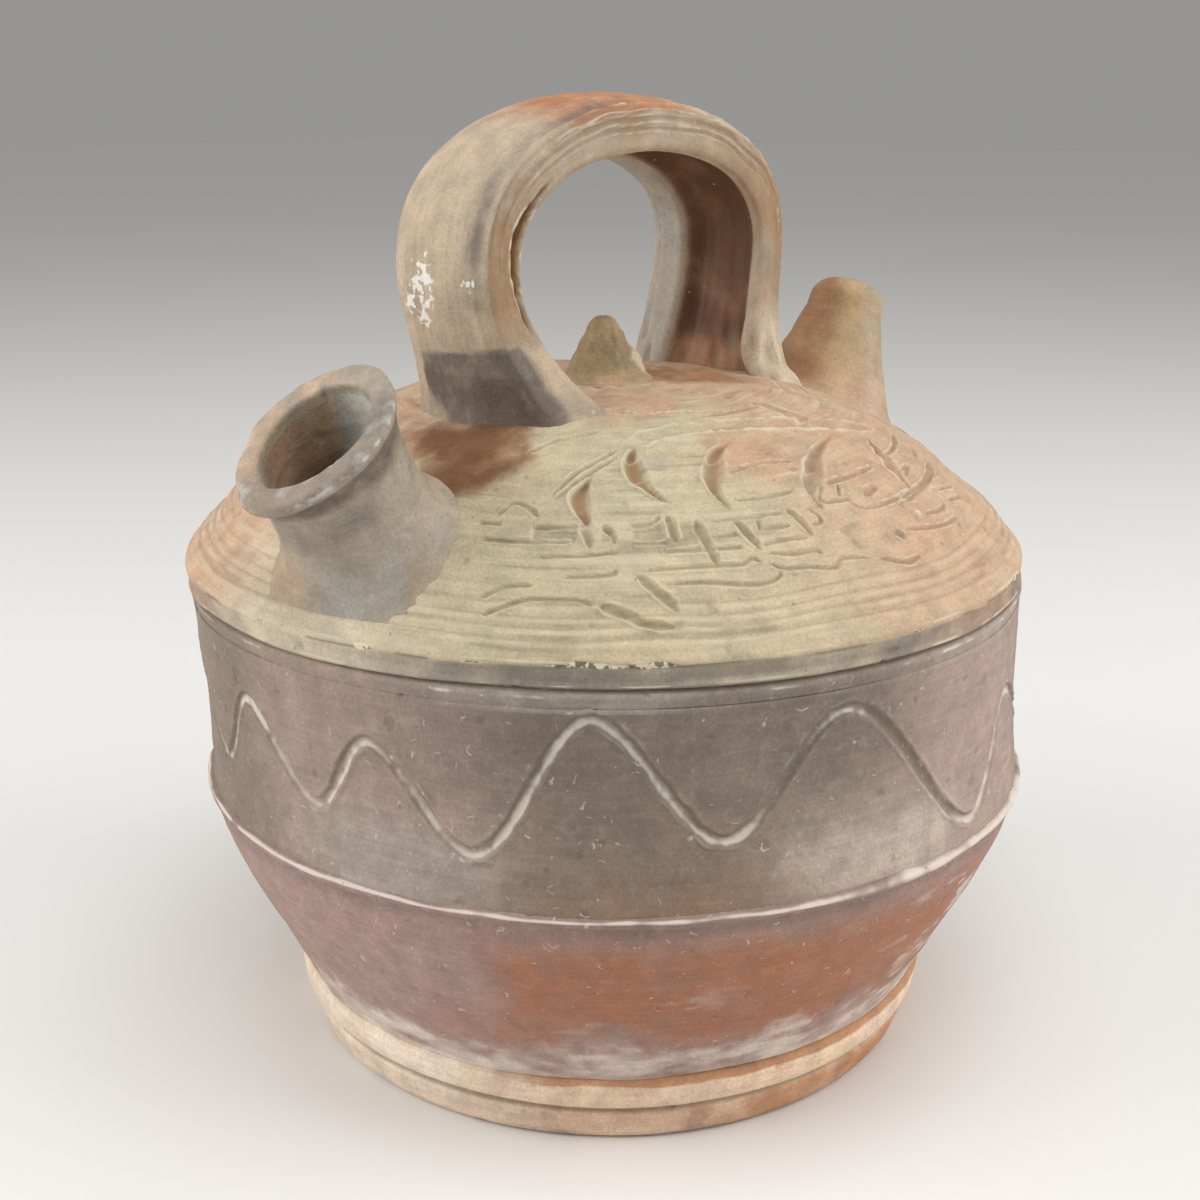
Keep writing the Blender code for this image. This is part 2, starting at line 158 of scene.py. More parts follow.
# Tool strokes on the dome: (angle, radius)
WIDE_STROKES = [
    [(-137, 62), (-132, 58), (-125.5, 54.5), (-115, 53), (-99, 55), (-86, 59), (-74, 65), (-58, 72.5)],
    [(-87, 43), (-84.5, 49), (-82, 55), (-81, 59)],
]
LINE_STROKES = [
    [(-149, 77), (-146, 71.5), (-142, 66.5), (-137, 61)],
    [(-148.5, 79), (-145, 73), (-142, 69.5), (-137, 64)],
    [(-157, 64), (-150.5, 57), (-140, 52.5)],
    [(-157, 83.5), (-154.5, 80), (-152, 81), (-150, 83)],
    [(-154, 36), (-140, 39.5), (-125, 42), (-92, 47.5)],
    [(-56.5, 75.5), (-64, 76.5), (-71, 77), (-76.5, 77)],
    [(-60.5, 80.5), (-66.5, 82)],
    [(-78.5, 82), (-74, 82), (-79, 83.5)],
    [(-119, 79.5), (-112.5, 79.5), (-106.5, 79)],
    [(-117, 71.5), (-108.5, 69.5), (-101, 71)],
    [(-100, 79), (-92.5, 78.5), (-83.5, 78)],
    [(-100.5, 79), (-103, 83), (-96.5, 84)],
    [(-97, 80), (-99, 82.5)],
    [(-98, 84.5), (-96, 87), (-87.5, 87), (-79, 86.5)],
    [(-159, 85.5), (-155.5, 85)],
    [(-151, 85.5), (-143.5, 85)],
    [(-140.5, 85), (-139, 86.5), (-138.5, 89)],
    [(-136.5, 85), (-133, 84.5), (-131.5, 82.5)],
    [(-158, 89), (-152.5, 89), (-143.5, 88.5)],
    [(-136.5, 89), (-131, 89)],
    [(-149.5, 92), (-143.5, 91.5), (-138, 91)],
    [(-133, 91), (-125, 91), (-122, 91)],
    [(-146, 96), (-139.5, 95.5), (-138.5, 94.5)],
    [(-135.5, 95), (-130.5, 94.5), (-125, 94.5), (-121.5, 94.5), (-120, 93.5), (-118.5, 94.5)],
    [(-124, 85), (-121, 84.5), (-116.5, 84.5), (-111, 84)],
    [(-124, 88.5), (-120.5, 88)],
    [(-117, 87.5), (-111.5, 87.5)],
    [(-125, 91), (-120.5, 91)],
    [(-117.5, 91), (-115, 90.5), (-109.5, 90.5)],
    [(-116.5, 85), (-117, 88)],
    [(-108, 88), (-106, 87.5), (-106.5, 84)],
    [(-118, 92.5), (-114, 93.5), (-110, 93.5), (-109, 94.5)],
    [(-118, 94.5), (-116, 96), (-112.5, 96.5), (-108.5, 97.5), (-106.5, 96), (-101, 97.5)],
    [(-101, 97.5), (-96, 99.5), (-92, 99)],
    [(-133, 97.5), (-127.5, 97.5), (-122, 98.5), (-119, 98.5), (-117, 97.5), (-116.5, 96.5)],
    [(-155.5, 100.5), (-152.5, 98), (-149, 97.5)],
    [(-155, 103.5), (-152, 101.5), (-149, 100), (-143.5, 100), (-141.5, 101)],
    [(-76.5, 89.5), (-77.5, 93), (-85, 92.5)],
    [(-74, 92.5), (-68, 94)],
    [(-75, 89), (-67, 91.5)],
    [(-92, 93.5), (-86, 95), (-80, 96), (-76, 96)],
]
BOLD_STROKES = [
    [(-143.5, 84), (-142, 90)],
    [(-130.5, 82.5), (-130, 89)],
    [(-126.5, 84), (-125, 95)],
    [(-120.5, 84.5), (-118, 92)],
    [(-110.5, 83), (-109, 90.5)],
    [(-136, 95.5), (-131, 102.5)],
    [(-141.5, 101), (-138, 102.5), (-135, 104.5), (-131.5, 105)],
    [(-93.5, 84), (-89, 83)],
    [(-94.5, 93.5), (-93, 95.5)],
    [(-60, 84.5), (-68, 86), (-77, 87), (-83, 87.5), (-88, 88.5)],
]
CRESCENTS = [
    [(-142, 70), (-144, 74.5), (-144.7, 78), (-143.5, 82.5), (-141.5, 86.5)],
    [(-132.5, 58.5), (-134.8, 64), (-134.8, 70.5), (-133, 75.5), (-128.5, 80.5)],
    [(-108, 58.5), (-116.5, 64), (-120.3, 71), (-121.3, 76.5), (-119.5, 83.5)],
    [(-80, 64.5), (-93, 69), (-100.5, 75), (-104, 80.5), (-104, 86.5)],
    [(-71.5, 69), (-76, 73.5), (-79, 78.5), (-81, 83.5), (-81, 88)],
]
# How much brown lies in each crescent, strongest where it is deepest: partly its own colour, partly painted
# shade
CRESCENT_BROWN = (0.6, 0.65, 0.45, 0.2, 0.0)
# Shallow pressed cells of the brick band, darkened with painted shade: (first angle, last angle)
CELLS = [(-150.5, -144), (-140.5, -139), (-136, -131.5), (-129, -126.5)]
CELL_RADII = (85.3, 88.6)
CELL_DEPTH = 0.6
# Thin ridges that frame the dome: (radius, height)
BORDER_RIDGES = [(101.5, 0.12), (103.6, 0.22), (105.4, 0.3), (107.4, 0.3)]
# Clay crumbs fired on to the dome: (angle, radius, size)
CRUMBS = [(-141, 101.5, 1.1), (-87, 92, 1.5)]
# The angle where worn edges have most of their chips
CHIPPED_TURN = -144.0
# The scorch by the filling spout: (angle, radius, size), and how black it is
SCORCHES = [(-166, 69, 19.0), (-172, 61, 20.0), (-180, 62, 16.0)]
SCORCH_CHAR = 0.68
# Other soft patches on the dome: (mark, angle, radius, size, strength). The ember and char patches by the
# knob are partly a painted shadow of the handle.
DOME_PATCHES = [
    # partly a painted shadow of the handle, partly scorch
    ("ember_and_shade", -25, 24, 22.0, 0.75),
    ("char_and_shade", 0, 24, 18.0, 0.4),
    ("smoke_and_shade", -168, 47, 15.0, 0.9),
    ("rose", -130, 32, 22.0, 0.9),
    ("rose", -111, 66, 22.0, 0.95),
    ("ember_and_shade", -106, 67, 20.0, 0.22),
    ("ash", -140.5, 77, 5.0, 0.35),
    ("ash", -130.5, 67, 5.0, 0.35),
]
# Lime splashed on the near leg: (place, size)
LIME_SPLASHES = [((-61.5, 6.5, 200.0), 7.0), ((-61.5, 3.7, 207.5), 5.5), ((-61.0, -10.5, 204.5), 2.4)]
# Lines along the strap's near side: (share of its depth, lowest height, half width, depth, burr).
# Below them, the height of the smoked near root, and where the open slit is
STRAP_LINES = [(0.85, 206.0, 1.1, 0.5, 0.7), (0.3, 200.0, 0.8, 0.5, 0.4), (-0.1, 212.0, 0.6, 0.4, 0.3)]
STRAP_ROOT_Z = 188.0
SLIT_DEPTH_SHARE = -0.5
SLIT_HEIGHTS = (190.0, 228.0)

# Turning points of the combed wave on the front of the drum wall: (angle, height). On the back they
# are a step apart, at two heights in turn.
WAVE_FRONT = [
    (159, 90), (168, 110), (181.5, 91), (190.5, 110), (203.5, 87.5), (218, 120.5),
    (233, 91), (248.5, 118), (272, 79.5), (285, 104),
]
WAVE_SPAN = (76.5, 122.5)
WAVE_BACK_STEP = 15.6
WAVE_BACK_HEIGHTS = (90.0, 111.0)

# Clay colours (linear)
KHAKI = (0.50, 0.43, 0.285)
# Smoke, ember and char also serve as painted shade; the char colour's red cast is partly a painted reflection
# of red light
SMOKE_AND_SHADE = (0.135, 0.11, 0.095)
EMBER_AND_SHADE = (0.30, 0.14, 0.065)
CHAR_AND_SHADE = (0.105, 0.042, 0.018)
ASH = (0.37, 0.345, 0.305)
ROSE = (0.53, 0.33, 0.215)
DUST = (0.62, 0.54, 0.40)
CREAM = (0.78, 0.68, 0.48)
# Painted shade for grooves, pits, creases and joints; also the dark of chips and specks
SHADE = (0.17, 0.13, 0.09)
RUST = (0.36, 0.20, 0.085)
LIME = (0.86, 0.84, 0.79)


def smooth(value, start=0.0, end=1.0):
    """0 at start, 1 at end, soft at both. The range may also run downward."""
    share = np.clip((value - start) / (end - start), 0.0, 1.0)
    return share * share * (3.0 - 2.0 * share)


def around(value, centre, inner, outer):
    """1 within inner of a centre, 0 beyond outer."""
    return smooth(np.abs(value - centre), outer, inner)


def peak(value, centre, width):
    """A soft bump, 1 at its centre."""
    return np.exp(-(((value - centre) / width) ** 2))


def between(start, end, share):
    return start + (end - start) * share


def lattice(cell, seed):
    """A fixed random number between -1 and 1 for each whole-numbered cell."""
    mixed = cell[..., 0] * 374761393 + cell[..., 1] * 668265263 + cell[..., 2] * 1274126177
    mixed = (mixed + seed * 974711) & 0xFFFFFFFF
    mixed = ((mixed ^ (mixed >> 13)) * 1103515245 + 12345) & 0xFFFFFFFF
    return ((mixed ^ (mixed >> 16)) & 0xFFFF) / 32767.5 - 1.0


def noise(points, size, seed):
    """Smooth random bumps between -1 and 1, about size apart."""
    place = np.asarray(points, float) / size
    cell = np.floor(place).astype(np.int64)
    share = place - cell
    share = share**3 * (share * (share * 6.0 - 15.0) + 10.0)
    total = 0.0
    for corner in np.ndindex(2, 2, 2):
        weight = np.prod(np.where(corner, share, 1.0 - share), axis=-1)
        total = total + weight * lattice(cell + np.array(corner), seed)
    return total


def rough(points, size, seed, octaves=3):
    """Noise with finer bumps added."""
    return sum(noise(points, size / 2**k, seed + k) / 2**k for k in range(octaves))


def on_ring(angle, radius, height):
    angle = np.radians(angle)
    return np.stack((radius * np.cos(angle), radius * np.sin(angle), height), axis=-1)


def rounded(points, steps):
    """A smooth line through the given points."""
    points = np.asarray(points, float)
    before = np.vstack((2 * points[0] - points[1], points, 2 * points[-1] - points[-2]))
    share = np.linspace(0.0, 1.0, steps, endpoint=False)[:, None]
    line = []
    for a, b, c, d in zip(before, before[1:], before[2:], before[3:]):
        bend = (2 * a - 5 * b + 4 * c - d) * share**2 + (3 * b - a - 3 * c + d) * share**3
        line.append(b + 0.5 * ((c - a) * share + bend))
    return np.vstack(line + [points[-1:]])


def beside(radius, height, *steps):
    """Points at (outward, upward) steps from one place of an outline."""
    return [(radius + outward, height + upward) for outward, upward in steps]


def lengths(line):
    """Distance along a line from its first point."""
    return np.concatenate(([0.0], np.cumsum(np.linalg.norm(np.diff(line, axis=0), axis=1))))


def even(line, step):
    """The same line with points about step apart."""
    line = np.asarray(line, float)
    along = lengths(line)
    marks = np.linspace(0.0, along[-1], max(2, int(along[-1] / step) + 1))
    return np.stack([np.interp(marks, along, axis) for axis in line.T], axis=-1)


def dome_height(radius):
    rise = DOME_TOP_Z - SHOULDER_Z
    return DOME_TOP_Z - rise * (np.abs(radius) / SHOULDER_RADIUS) ** DOME_FULLNESS


def dome_slope(radius):
    steepest = (DOME_TOP_Z - SHOULDER_Z) * DOME_FULLNESS / SHOULDER_RADIUS
    return -steepest * (radius / SHOULDER_RADIUS) ** (DOME_FULLNESS - 1.0)


def drop_on_dome(points, sink=0.0):
    """Put points on the dome, straight below or above where they are, and sink them into it."""
    x, y = points[..., 0], points[..., 1]
    return np.stack((x, y, dome_height(np.hypot(x, y)) - sink), axis=-1)


def near_line(points, normals, line, reach):
    """Points within reach of a line: their numbers, distance, side and share along the line."""
    low, high = line.min(axis=0) - reach, line.max(axis=0) + reach
    inside = np.flatnonzero(np.all((points > low) & (points < high), axis=1))
    spot = points[inside]
    gap = np.full(len(spot), np.inf)
    side = np.zeros(len(spot))
    share = np.zeros(len(spot))
    for k, (start, end) in enumerate(zip(line, line[1:])):
        low, high = np.minimum(start, end) - reach, np.maximum(start, end) + reach
        near = np.flatnonzero(np.all((spot > low) & (spot < high), axis=1))
        step = end - start
        away = spot[near] - start
        part = np.clip(away @ step / (step @ step), 0.0, 1.0)
        distance = np.linalg.norm(away - part[:, None] * step, axis=1)
        closer = distance < gap[near]
        hit = near[closer]
        gap[hit] = distance[closer]
        turn = np.cross(step, away[closer])
        side[hit] = np.sign(np.einsum("ij,ij->i", turn, normals[inside[hit]]))
        share[hit] = (k + part[closer]) / (len(line) - 1)
    found = gap < reach
    return inside[found], gap[found], side[found], share[found]


class Clay:
    """A grid of surface points with a relief along their normals and marks that the material reads."""

    # Marks that tint the clay. Smoke, ember and char also carry painted shade, and dust also a painted sheen.
    TINT_MARKS = ("rose", "smoke_and_shade", "ember_and_shade", "char_and_shade", "ash", "dust_and_sheen")
    MARKS = ("lap", "groove", "crest", "chip", "rust", "lime") + TINT_MARKS
    PATCH_SEED = 5

    def __init__(self, points, normals, lap):
        self.points = points
        self.normals = normals
        self.relief = np.zeros(points.shape[:2])
        self.cut = np.zeros(points.shape[:2])
        self.pushed = np.zeros(points.shape[:2])
        self.open = np.zeros(points.shape[:2])
        self.marks = {name: np.zeros(points.shape[:2]) for name in self.MARKS}
        self.marks["lap"] = np.broadcast_to(lap, points.shape[:2]) * MM

    @property
    def angle(self):
        return np.arctan2(self.points[..., 1], self.points[..., 0])

    @property
    def radius(self):
        return np.hypot(self.points[..., 0], self.points[..., 1])

    @property
    def height(self):
        return self.points[..., 2]

    @property
    def turn(self):
        """Degrees from 0 to 360."""
        return np.degrees(self.angle) % 360.0

    def noise(self, size, seed):
        return noise(self.points, size, seed)

    def rough(self, size, seed, octaves=3):
        return rough(self.points, size, seed, octaves)

    def mark(self, **amounts):
        """Raise marks to at least the given amounts."""
        for name, amount in amounts.items():
            self.marks[name] = np.maximum(self.marks[name], np.clip(amount, 0.0, 1.0))

    def carve(self, line, half_width, depth, burr, lean=0.0, fade=0.15, shade=1.0, pale=1.0):
        """Draw a tool along a line: a rounded groove and the clay that it pushed up at both edges. The groove
        is painted with shade, and the pushed-up edges are painted pale, partly as a highlight.

        Gives the numbers of the points it touched, how far across the groove they are, with a
        plus sign on the line's left, and how deep in it. A lean above 0 lets that side run out.
        """
        flat = self.points.reshape(-1, 3)
        reach = half_width * (2.4 + lean)
        hit, gap, side, share = near_line(flat, self.normals.reshape(-1, 3), line, reach)
        nearest_end = np.minimum(share, 1.0 - share)
        ends = smooth(nearest_end, 0.0, 0.4 * fade)
        taper = 0.2 + 0.8 * smooth(nearest_end, 0.0, fade)
        wander = 1.0 + 0.22 * noise(flat[hit], 3.0, 11)
        width = half_width * taper * wander * np.where(side > 0, 1.0 + lean, 1.0)
        across = gap / width
        bowl = np.clip(1.0 - across**2, 0.0, 1.0) * ends
        edge = peak(across, 1.3, 0.33) * ends
        edge *= np.where(side > 0, 1.0 - 0.6 * min(lean, 1.0), 1.0)
        edge *= 0.65 + 0.5 * noise(flat[hit], 2.2, 12)
        for field, value, pick in (
            (self.cut, -depth * bowl, np.minimum),
            (self.pushed, burr * edge, np.maximum),
            (self.open, bowl, np.maximum),
            # painted shade in the groove, and pale edges that are partly a painted highlight
            (self.marks["groove"], shade * bowl, np.maximum),
            (self.marks["crest"], pale * edge, np.maximum),
        ):
            field.reshape(-1)[hit] = pick(field.reshape(-1)[hit], value)
        return hit, across * side, bowl

    def touch(self, name, hit, amount):
        """Raise a mark on numbered points."""
        field = self.marks[name].reshape(-1)
        field[hit] = np.maximum(field[hit], np.clip(amount, 0.0, 1.0))

    def soft_patch(self, name, centre, size, strength=1.0):
        """A soft-edged patch of one mark round a point."""
        gap = np.linalg.norm(self.points - np.asarray(centre), axis=-1)
        gap = gap + 0.28 * size * self.rough(size * 0.7, self.PATCH_SEED, 4)
        self.mark(**{name: strength * (1.0 - smooth(gap, 0.25 * size, 1.1 * size))})

    def grid(self):
        open_edge = 1.0 - np.clip(self.open * 1.5, 0.0, 1.0)
        lift = self.relief + self.cut + self.pushed * open_edge
        return self.points + self.normals * lift[..., None]


def turned(line, columns):
    """Clay for a line of (radius, height) points, from the top down, spun round Z."""
    line = np.asarray(line, float)
    tangent = np.gradient(line, axis=0)
    tangent /= np.linalg.norm(tangent, axis=1)[:, None]
    radius, height = line[:, :1], line[:, 1:] + 0.0 * columns
    points = np.stack((radius * np.cos(columns), radius * np.sin(columns), height), axis=-1)
    outward, upward = -tangent[:, 1:], tangent[:, :1] + 0.0 * columns
    normals = np.stack((outward * np.cos(columns), outward * np.sin(columns), upward), axis=-1)
    return Clay(points, normals, lengths(line)[:, None])


def wheel_lines(clay, size, seed):
    """Fine ridges that run round the jug, as fingers leave them on the wheel."""
    lap = clay.marks["lap"] / MM
    ring = np.stack((lap, 4 * size * np.cos(clay.angle), 4 * size * np.sin(clay.angle)), axis=-1)
    return noise(ring, size, seed)


def hand_made(clay, seed, wobble=0.45, lines=0.09, grit=0.05):
    """Slow unevenness, wheel lines, grit and a few open pits."""
    clay.relief += wobble * clay.rough(46, seed, 2)
    clay.relief += lines * wheel_lines(clay, 2.1, seed + 1) + 2 * lines * wheel_lines(clay, 7.0, seed + 2)
    clay.relief += grit * clay.rough(1.6, seed + 3, 2)
    pits = smooth(clay.noise(3.4, seed + 4), 0.74, 0.9)
    clay.relief -= 0.3 * pits
    # The pits are darkened with painted shade.
    clay.mark(groove=0.5 * pits)


def sway(points):
    shift = np.interp(points[..., 2], SWAY_HEIGHTS, SWAY_SHIFTS)
    return points + shift[..., None] * SWAY_DIRECTION


def skin(rows, loop):
    """Faces between neighbouring rows, with end caps where the rows don't return to the first."""
    index = np.arange(rows.shape[0] * rows.shape[1]).reshape(rows.shape[:2])
    above = index if loop else index[:-1]
    below = np.roll(index, -1, axis=0) if loop else index[1:]
    quads = np.stack((above, below, np.roll(below, -1, 1), np.roll(above, -1, 1)), axis=-1).reshape(-1, 4)
    caps = [] if loop else [index[0].tolist(), index[-1][::-1].tolist()]
    return quads, caps


def inside_out(rows, loop):
    """True if the faces of skin() point inward, found from the sign of the volume."""
    quads = skin(rows, loop)[0]
    corner = (rows - rows.mean(axis=(0, 1))).reshape(-1, 3)[quads]
    diagonals = np.cross(corner[:, 2] - corner[:, 0], corner[:, 3] - corner[:, 1])
    return np.einsum("ij,ij->", corner.mean(axis=1), diagonals) < 0


def add_piece(name, node, material, rows, marks=None, loop=False):
    """Skin rows of points into a closed mesh that stands for one CAD node."""
    quads, caps = skin(rows, loop)
    faces = quads.tolist() + caps
    if inside_out(rows, loop):
        faces = [face[::-1] for face in faces]
    points = sway(rows.reshape(-1, 3)) * MM
    mesh = bpy.data.meshes.new(name)
    mesh.from_pydata(points.tolist(), [], faces)
    mesh.shade_smooth()
    for mark, values in (marks or {}).items():
        layer = mesh.attributes.new(mark, "FLOAT", "POINT")
        layer.data.foreach_set("value", np.ascontiguousarray(values, np.float32).reshape(-1))
    piece = bpy.data.objects.new(name, mesh)
    bpy.context.scene.collection.objects.link(piece)
    if node:
        mesh.materials.append(material)
        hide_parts(node)
        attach(piece, "root")
    return piece


def cut_out(piece, cutters):
    """Take the cutters out of a piece, and keep the result as its mesh."""
    for cutter in cutters:
        modifier = piece.modifiers.new("cut", "BOOLEAN")
        modifier.operation = "DIFFERENCE"
        modifier.solver = "MANIFOLD"
        modifier.object = cutter
    graph = bpy.context.evaluated_depsgraph_get()
    mesh = bpy.data.meshes.new_from_object(piece.evaluated_get(graph))
    piece.modifiers.clear()
    piece.data = mesh
    for cutter in cutters:
        bpy.data.objects.remove(cutter, do_unlink=True)


def columns(count):
    return np.linspace(0.0, math.tau, count, endpoint=False)


def front_columns(first, last, step):
    """Angles all the way round, closer together between two angles at the front."""
    front = np.arange(first, last, step)
    back = np.arange(last, first + 360.0, BACK_STEP)
    return np.radians(np.concatenate((front, back)))


def joined(*clays):
    """Rows and marks of clays that follow one another."""
    marks = {mark: np.concatenate([clay.marks[mark] for clay in clays]) for mark in Clay.MARKS}
    return np.concatenate([clay.grid() for clay in clays]), marks


def add_lined(name, node, material, clay, line, loop=True):
    """Add turned clay whose inside follows a plain line."""
    angles = np.arctan2(clay.points[-1, :, 1], clay.points[-1, :, 0])
    return add_piece(name, node, material, *joined(clay, turned(line, angles)), loop)


def dome_ring(angle, radius):
    return on_ring(angle, radius, dome_height(radius))


def dome_stroke(points):
    """A smooth line on the dome through (angle, radius) points."""
    path = rounded(points, 6)
    return dome_ring(path[:, 0], path[:, 1])


def carve_ornament(clay):
    for strokes, tool in ((LINE_STROKES, LINE_TOOL), (BOLD_STROKES, BOLD_TOOL), (WIDE_STROKES, WIDE_TOOL)):
        for stroke in strokes:
            clay.carve(dome_stroke(stroke), **tool)
    for rust, stroke in zip(CRESCENT_BROWN, CRESCENTS):
        hit, _, bowl = clay.carve(dome_stroke(stroke), **CRESCENT_TOOL)
        # brown in the crescent's hollow, partly painted shade
        clay.touch("rust", hit, rust * smooth(bowl, 0.2, 0.7))
    angle = np.degrees(clay.angle)
    for first, last in CELLS:
        cell = smooth(angle, first - 0.4, first + 0.4) * smooth(angle, last + 0.4, last - 0.4)
        cell *= smooth(clay.radius, CELL_RADII[0] - 0.6, CELL_RADII[0] + 0.3)
        cell *= smooth(clay.radius, CELL_RADII[1] + 0.3, CELL_RADII[1] - 0.6)
        clay.relief -= CELL_DEPTH * cell
        # painted shade in the pressed cell
        clay.mark(smoke_and_shade=0.4 * cell)
    for turn, radius, size in CRUMBS:
        gap = np.linalg.norm(clay.points - dome_ring(turn, radius), axis=-1) / size
        crumb = np.sqrt(np.clip(1.0 - gap**2, 0.0, 1.0))
        clay.relief += 0.8 * size * crumb
        clay.mark(dust_and_sheen=crumb)


def border_rings(clay):
    """The thin ridges that frame the dome just inside its edge."""
    wander = 0.6 * clay.noise(30, 61)
    for radius, height in BORDER_RIDGES:
        gap = clay.radius - radius - wander
        crest = peak(gap, 0, 0.5) * (0.6 + 0.5 * clay.noise(6, 62))
        valley = peak(gap, -0.9, 0.4)
        clay.relief += height * (crest - 0.9 * valley)
        # The valley beside each ridge is darkened with painted shade.
        clay.mark(crest=0.5 * crest, groove=0.5 * valley)


def chip_edge(clay, edge_radius, edge_z, amount):
    """Small bites out of a worn edge, drawn out along it, most of them on the front."""
    gap = 1.3 * np.hypot(clay.radius - edge_radius, clay.height - edge_z)
    front = 0.7 * smooth(np.cos(clay.angle - math.radians(CHIPPED_TURN)), 0.94, 0.99)
    ring = clay.angle * edge_radius / 5.0
    place = np.stack(np.broadcast_arrays(ring, clay.height, clay.radius), axis=-1)
    bite = 0.7 * noise(place, 2.6, 71) + 0.5 * noise(place, 0.9, 72)
    chip = smooth(bite + 0.7 * front - 0.45 * gap, 0.1, 0.6)
    clay.relief -= amount * chip
    clay.mark(chip=chip)


def make_dome(material):
    top = [(r, dome_height(r)) for r in np.linspace(DOME_HOLE_RADIUS, DOME_TOP_EDGE, 60)]
    slope = [(r, dome_height(r)) for r in np.linspace(DOME_TOP_EDGE, SHOULDER_RADIUS - 0.8, 300)]
    edge = beside(SHOULDER_RADIUS, SHOULDER_Z, (-0.1, -0.2), (0.0, -1.4), (-0.4, -3.2))
    edge += beside(SHOULDER_RADIUS, DOME_SEAT_Z, (-0.5, 2.2), (-0.15, 0.9), (-RIM_GROOVE_DEPTH, -0.2))
    rim = rounded(slope[-1:] + edge, 5)
    outline = np.vstack((even(top, DOME_TOP_STEP), even(slope, DOME_STEP)[1:], rim[1:]))
    clay = turned(outline, front_columns(*DOME_FRONT))
    hand_made(clay, 100, lines=0.24)
    border_rings(clay)
    carve_ornament(clay)
    chip_edge(clay, SHOULDER_RADIUS, SHOULDER_Z - 1.1, 0.2)
    colour_dome(clay)
    inner = [(SHOULDER_RADIUS - WALL, DOME_SEAT_Z - 0.2)]
    inner += [(r, dome_height(r) - WALL) for r in np.linspace(SHOULDER_RADIUS - 2 * WALL, 8.0, 12)]
    inner += [(DOME_HOLE_RADIUS, DOME_TOP_Z - WALL)]
    piece = add_lined("jug_dome", "shoulder_dome", material, clay, inner)
    cut_out(piece, [drill(FILL, FILL_RADII["bore"]), drill(POUR, POUR_RADII["bore"])])


def colour_dome(clay):
    """The scorch and other patches, wheel stripes, and the smoked rim band with its worn edges, a line of
    painted shade under the shoulder's edge and painted shade in the seat groove.
    """
    for turn, radius, size in SCORCHES:
        clay.soft_patch("ember_and_shade", dome_ring(turn, radius), size)
        clay.soft_patch("char_and_shade", dome_ring(turn, radius), size, SCORCH_CHAR)
    for mark, turn, radius, size, strength in DOME_PATCHES:
        clay.soft_patch(mark, dome_ring(turn, radius), size, strength)
    angle = np.degrees(clay.angle)
    left = around(clay.turn, 180, 4, 28) * (1.0 - smooth(clay.marks["ember_and_shade"], 0, 0.4))
    clay.mark(rose=0.8 * smooth(angle, -135, -85) + 0.5 * left, dust_and_sheen=0.8 * left)
    stripe = wheel_lines(clay, 1.4, 108) * smooth(clay.rough(30, 109), -0.6, 0.2)
    stripe = stripe * (1.0 - clay.marks["ember_and_shade"]) * (1.0 - 0.6 * left)
    clay.mark(groove=0.54 * smooth(stripe, -0.12, -0.7), crest=0.5 * smooth(stripe, 0.15, 0.8))
    on_rim = clay.radius > SHOULDER_RADIUS - 1.2
    # A line of painted shade in a shallow dip under the shoulder's edge
    under = peak(clay.height, SHOULDER_Z - 1.5, 0.45) * smooth(clay.rough(14, 110), -0.5, 0.2) * on_rim
    clay.relief -= 0.3 * under
    clay.mark(groove=0.85 * under)
    band = smooth(clay.height, SHOULDER_Z - 0.8, SHOULDER_Z - 2)
    shaded = smooth(np.cos(clay.angle - math.radians(-150.0)), 0.2, 0.8)
    dark = peak(angle, -147, 11)
    clay.mark(smoke_and_shade=band * (0.55 + 0.4 * dark + 0.2 * clay.rough(12, 105)), ash=0.4 * band * shaded)
    # Painted shade in the groove where the rim band meets the drum
    clay.mark(groove=smooth(clay.height, DOME_SEAT_Z + 0.7, DOME_SEAT_Z))
    ragged = smooth(clay.rough(10, 106), -0.3, 0.6) * on_rim
    for edge in (SHOULDER_Z - 0.2, DOME_SEAT_Z + 1.1):
        clay.mark(crest=0.85 * ragged * peak(clay.height, edge, 0.35))


def wave_line():
    """The combed wave round the drum wall: turning points joined by soft curves, back to the start."""
    turns = list(WAVE_FRONT)
    start = WAVE_FRONT[0][0] + 360.0
    steps = round((start - turns[-1][0]) / WAVE_BACK_STEP)
    steps += 1 - steps % 2
    for k in range(1, steps):
        angle = between(WAVE_FRONT[-1][0], start, k / steps)
        turns.append((angle, WAVE_BACK_HEIGHTS[(k - 1) % 2]))
    turns.append((start, WAVE_FRONT[0][1]))
    line = []
    for (a, low), (b, high) in zip(turns, turns[1:]):
        share = np.linspace(0.0, 1.0, 22, endpoint=False)
        line += list(zip(between(a, b, share), between(low, high, smooth(share))))
    return np.array(line + [turns[-1]])


def drum_radius(height):
    share = np.clip((height - SEAM_Z) / (DOME_SEAT_Z - SEAM_Z), 0.0, 1.0)
    return between(SEAM_RADIUS, SHOULDER_RADIUS - 0.3, share) - DRUM_WAIST * 4 * share * (1 - share)


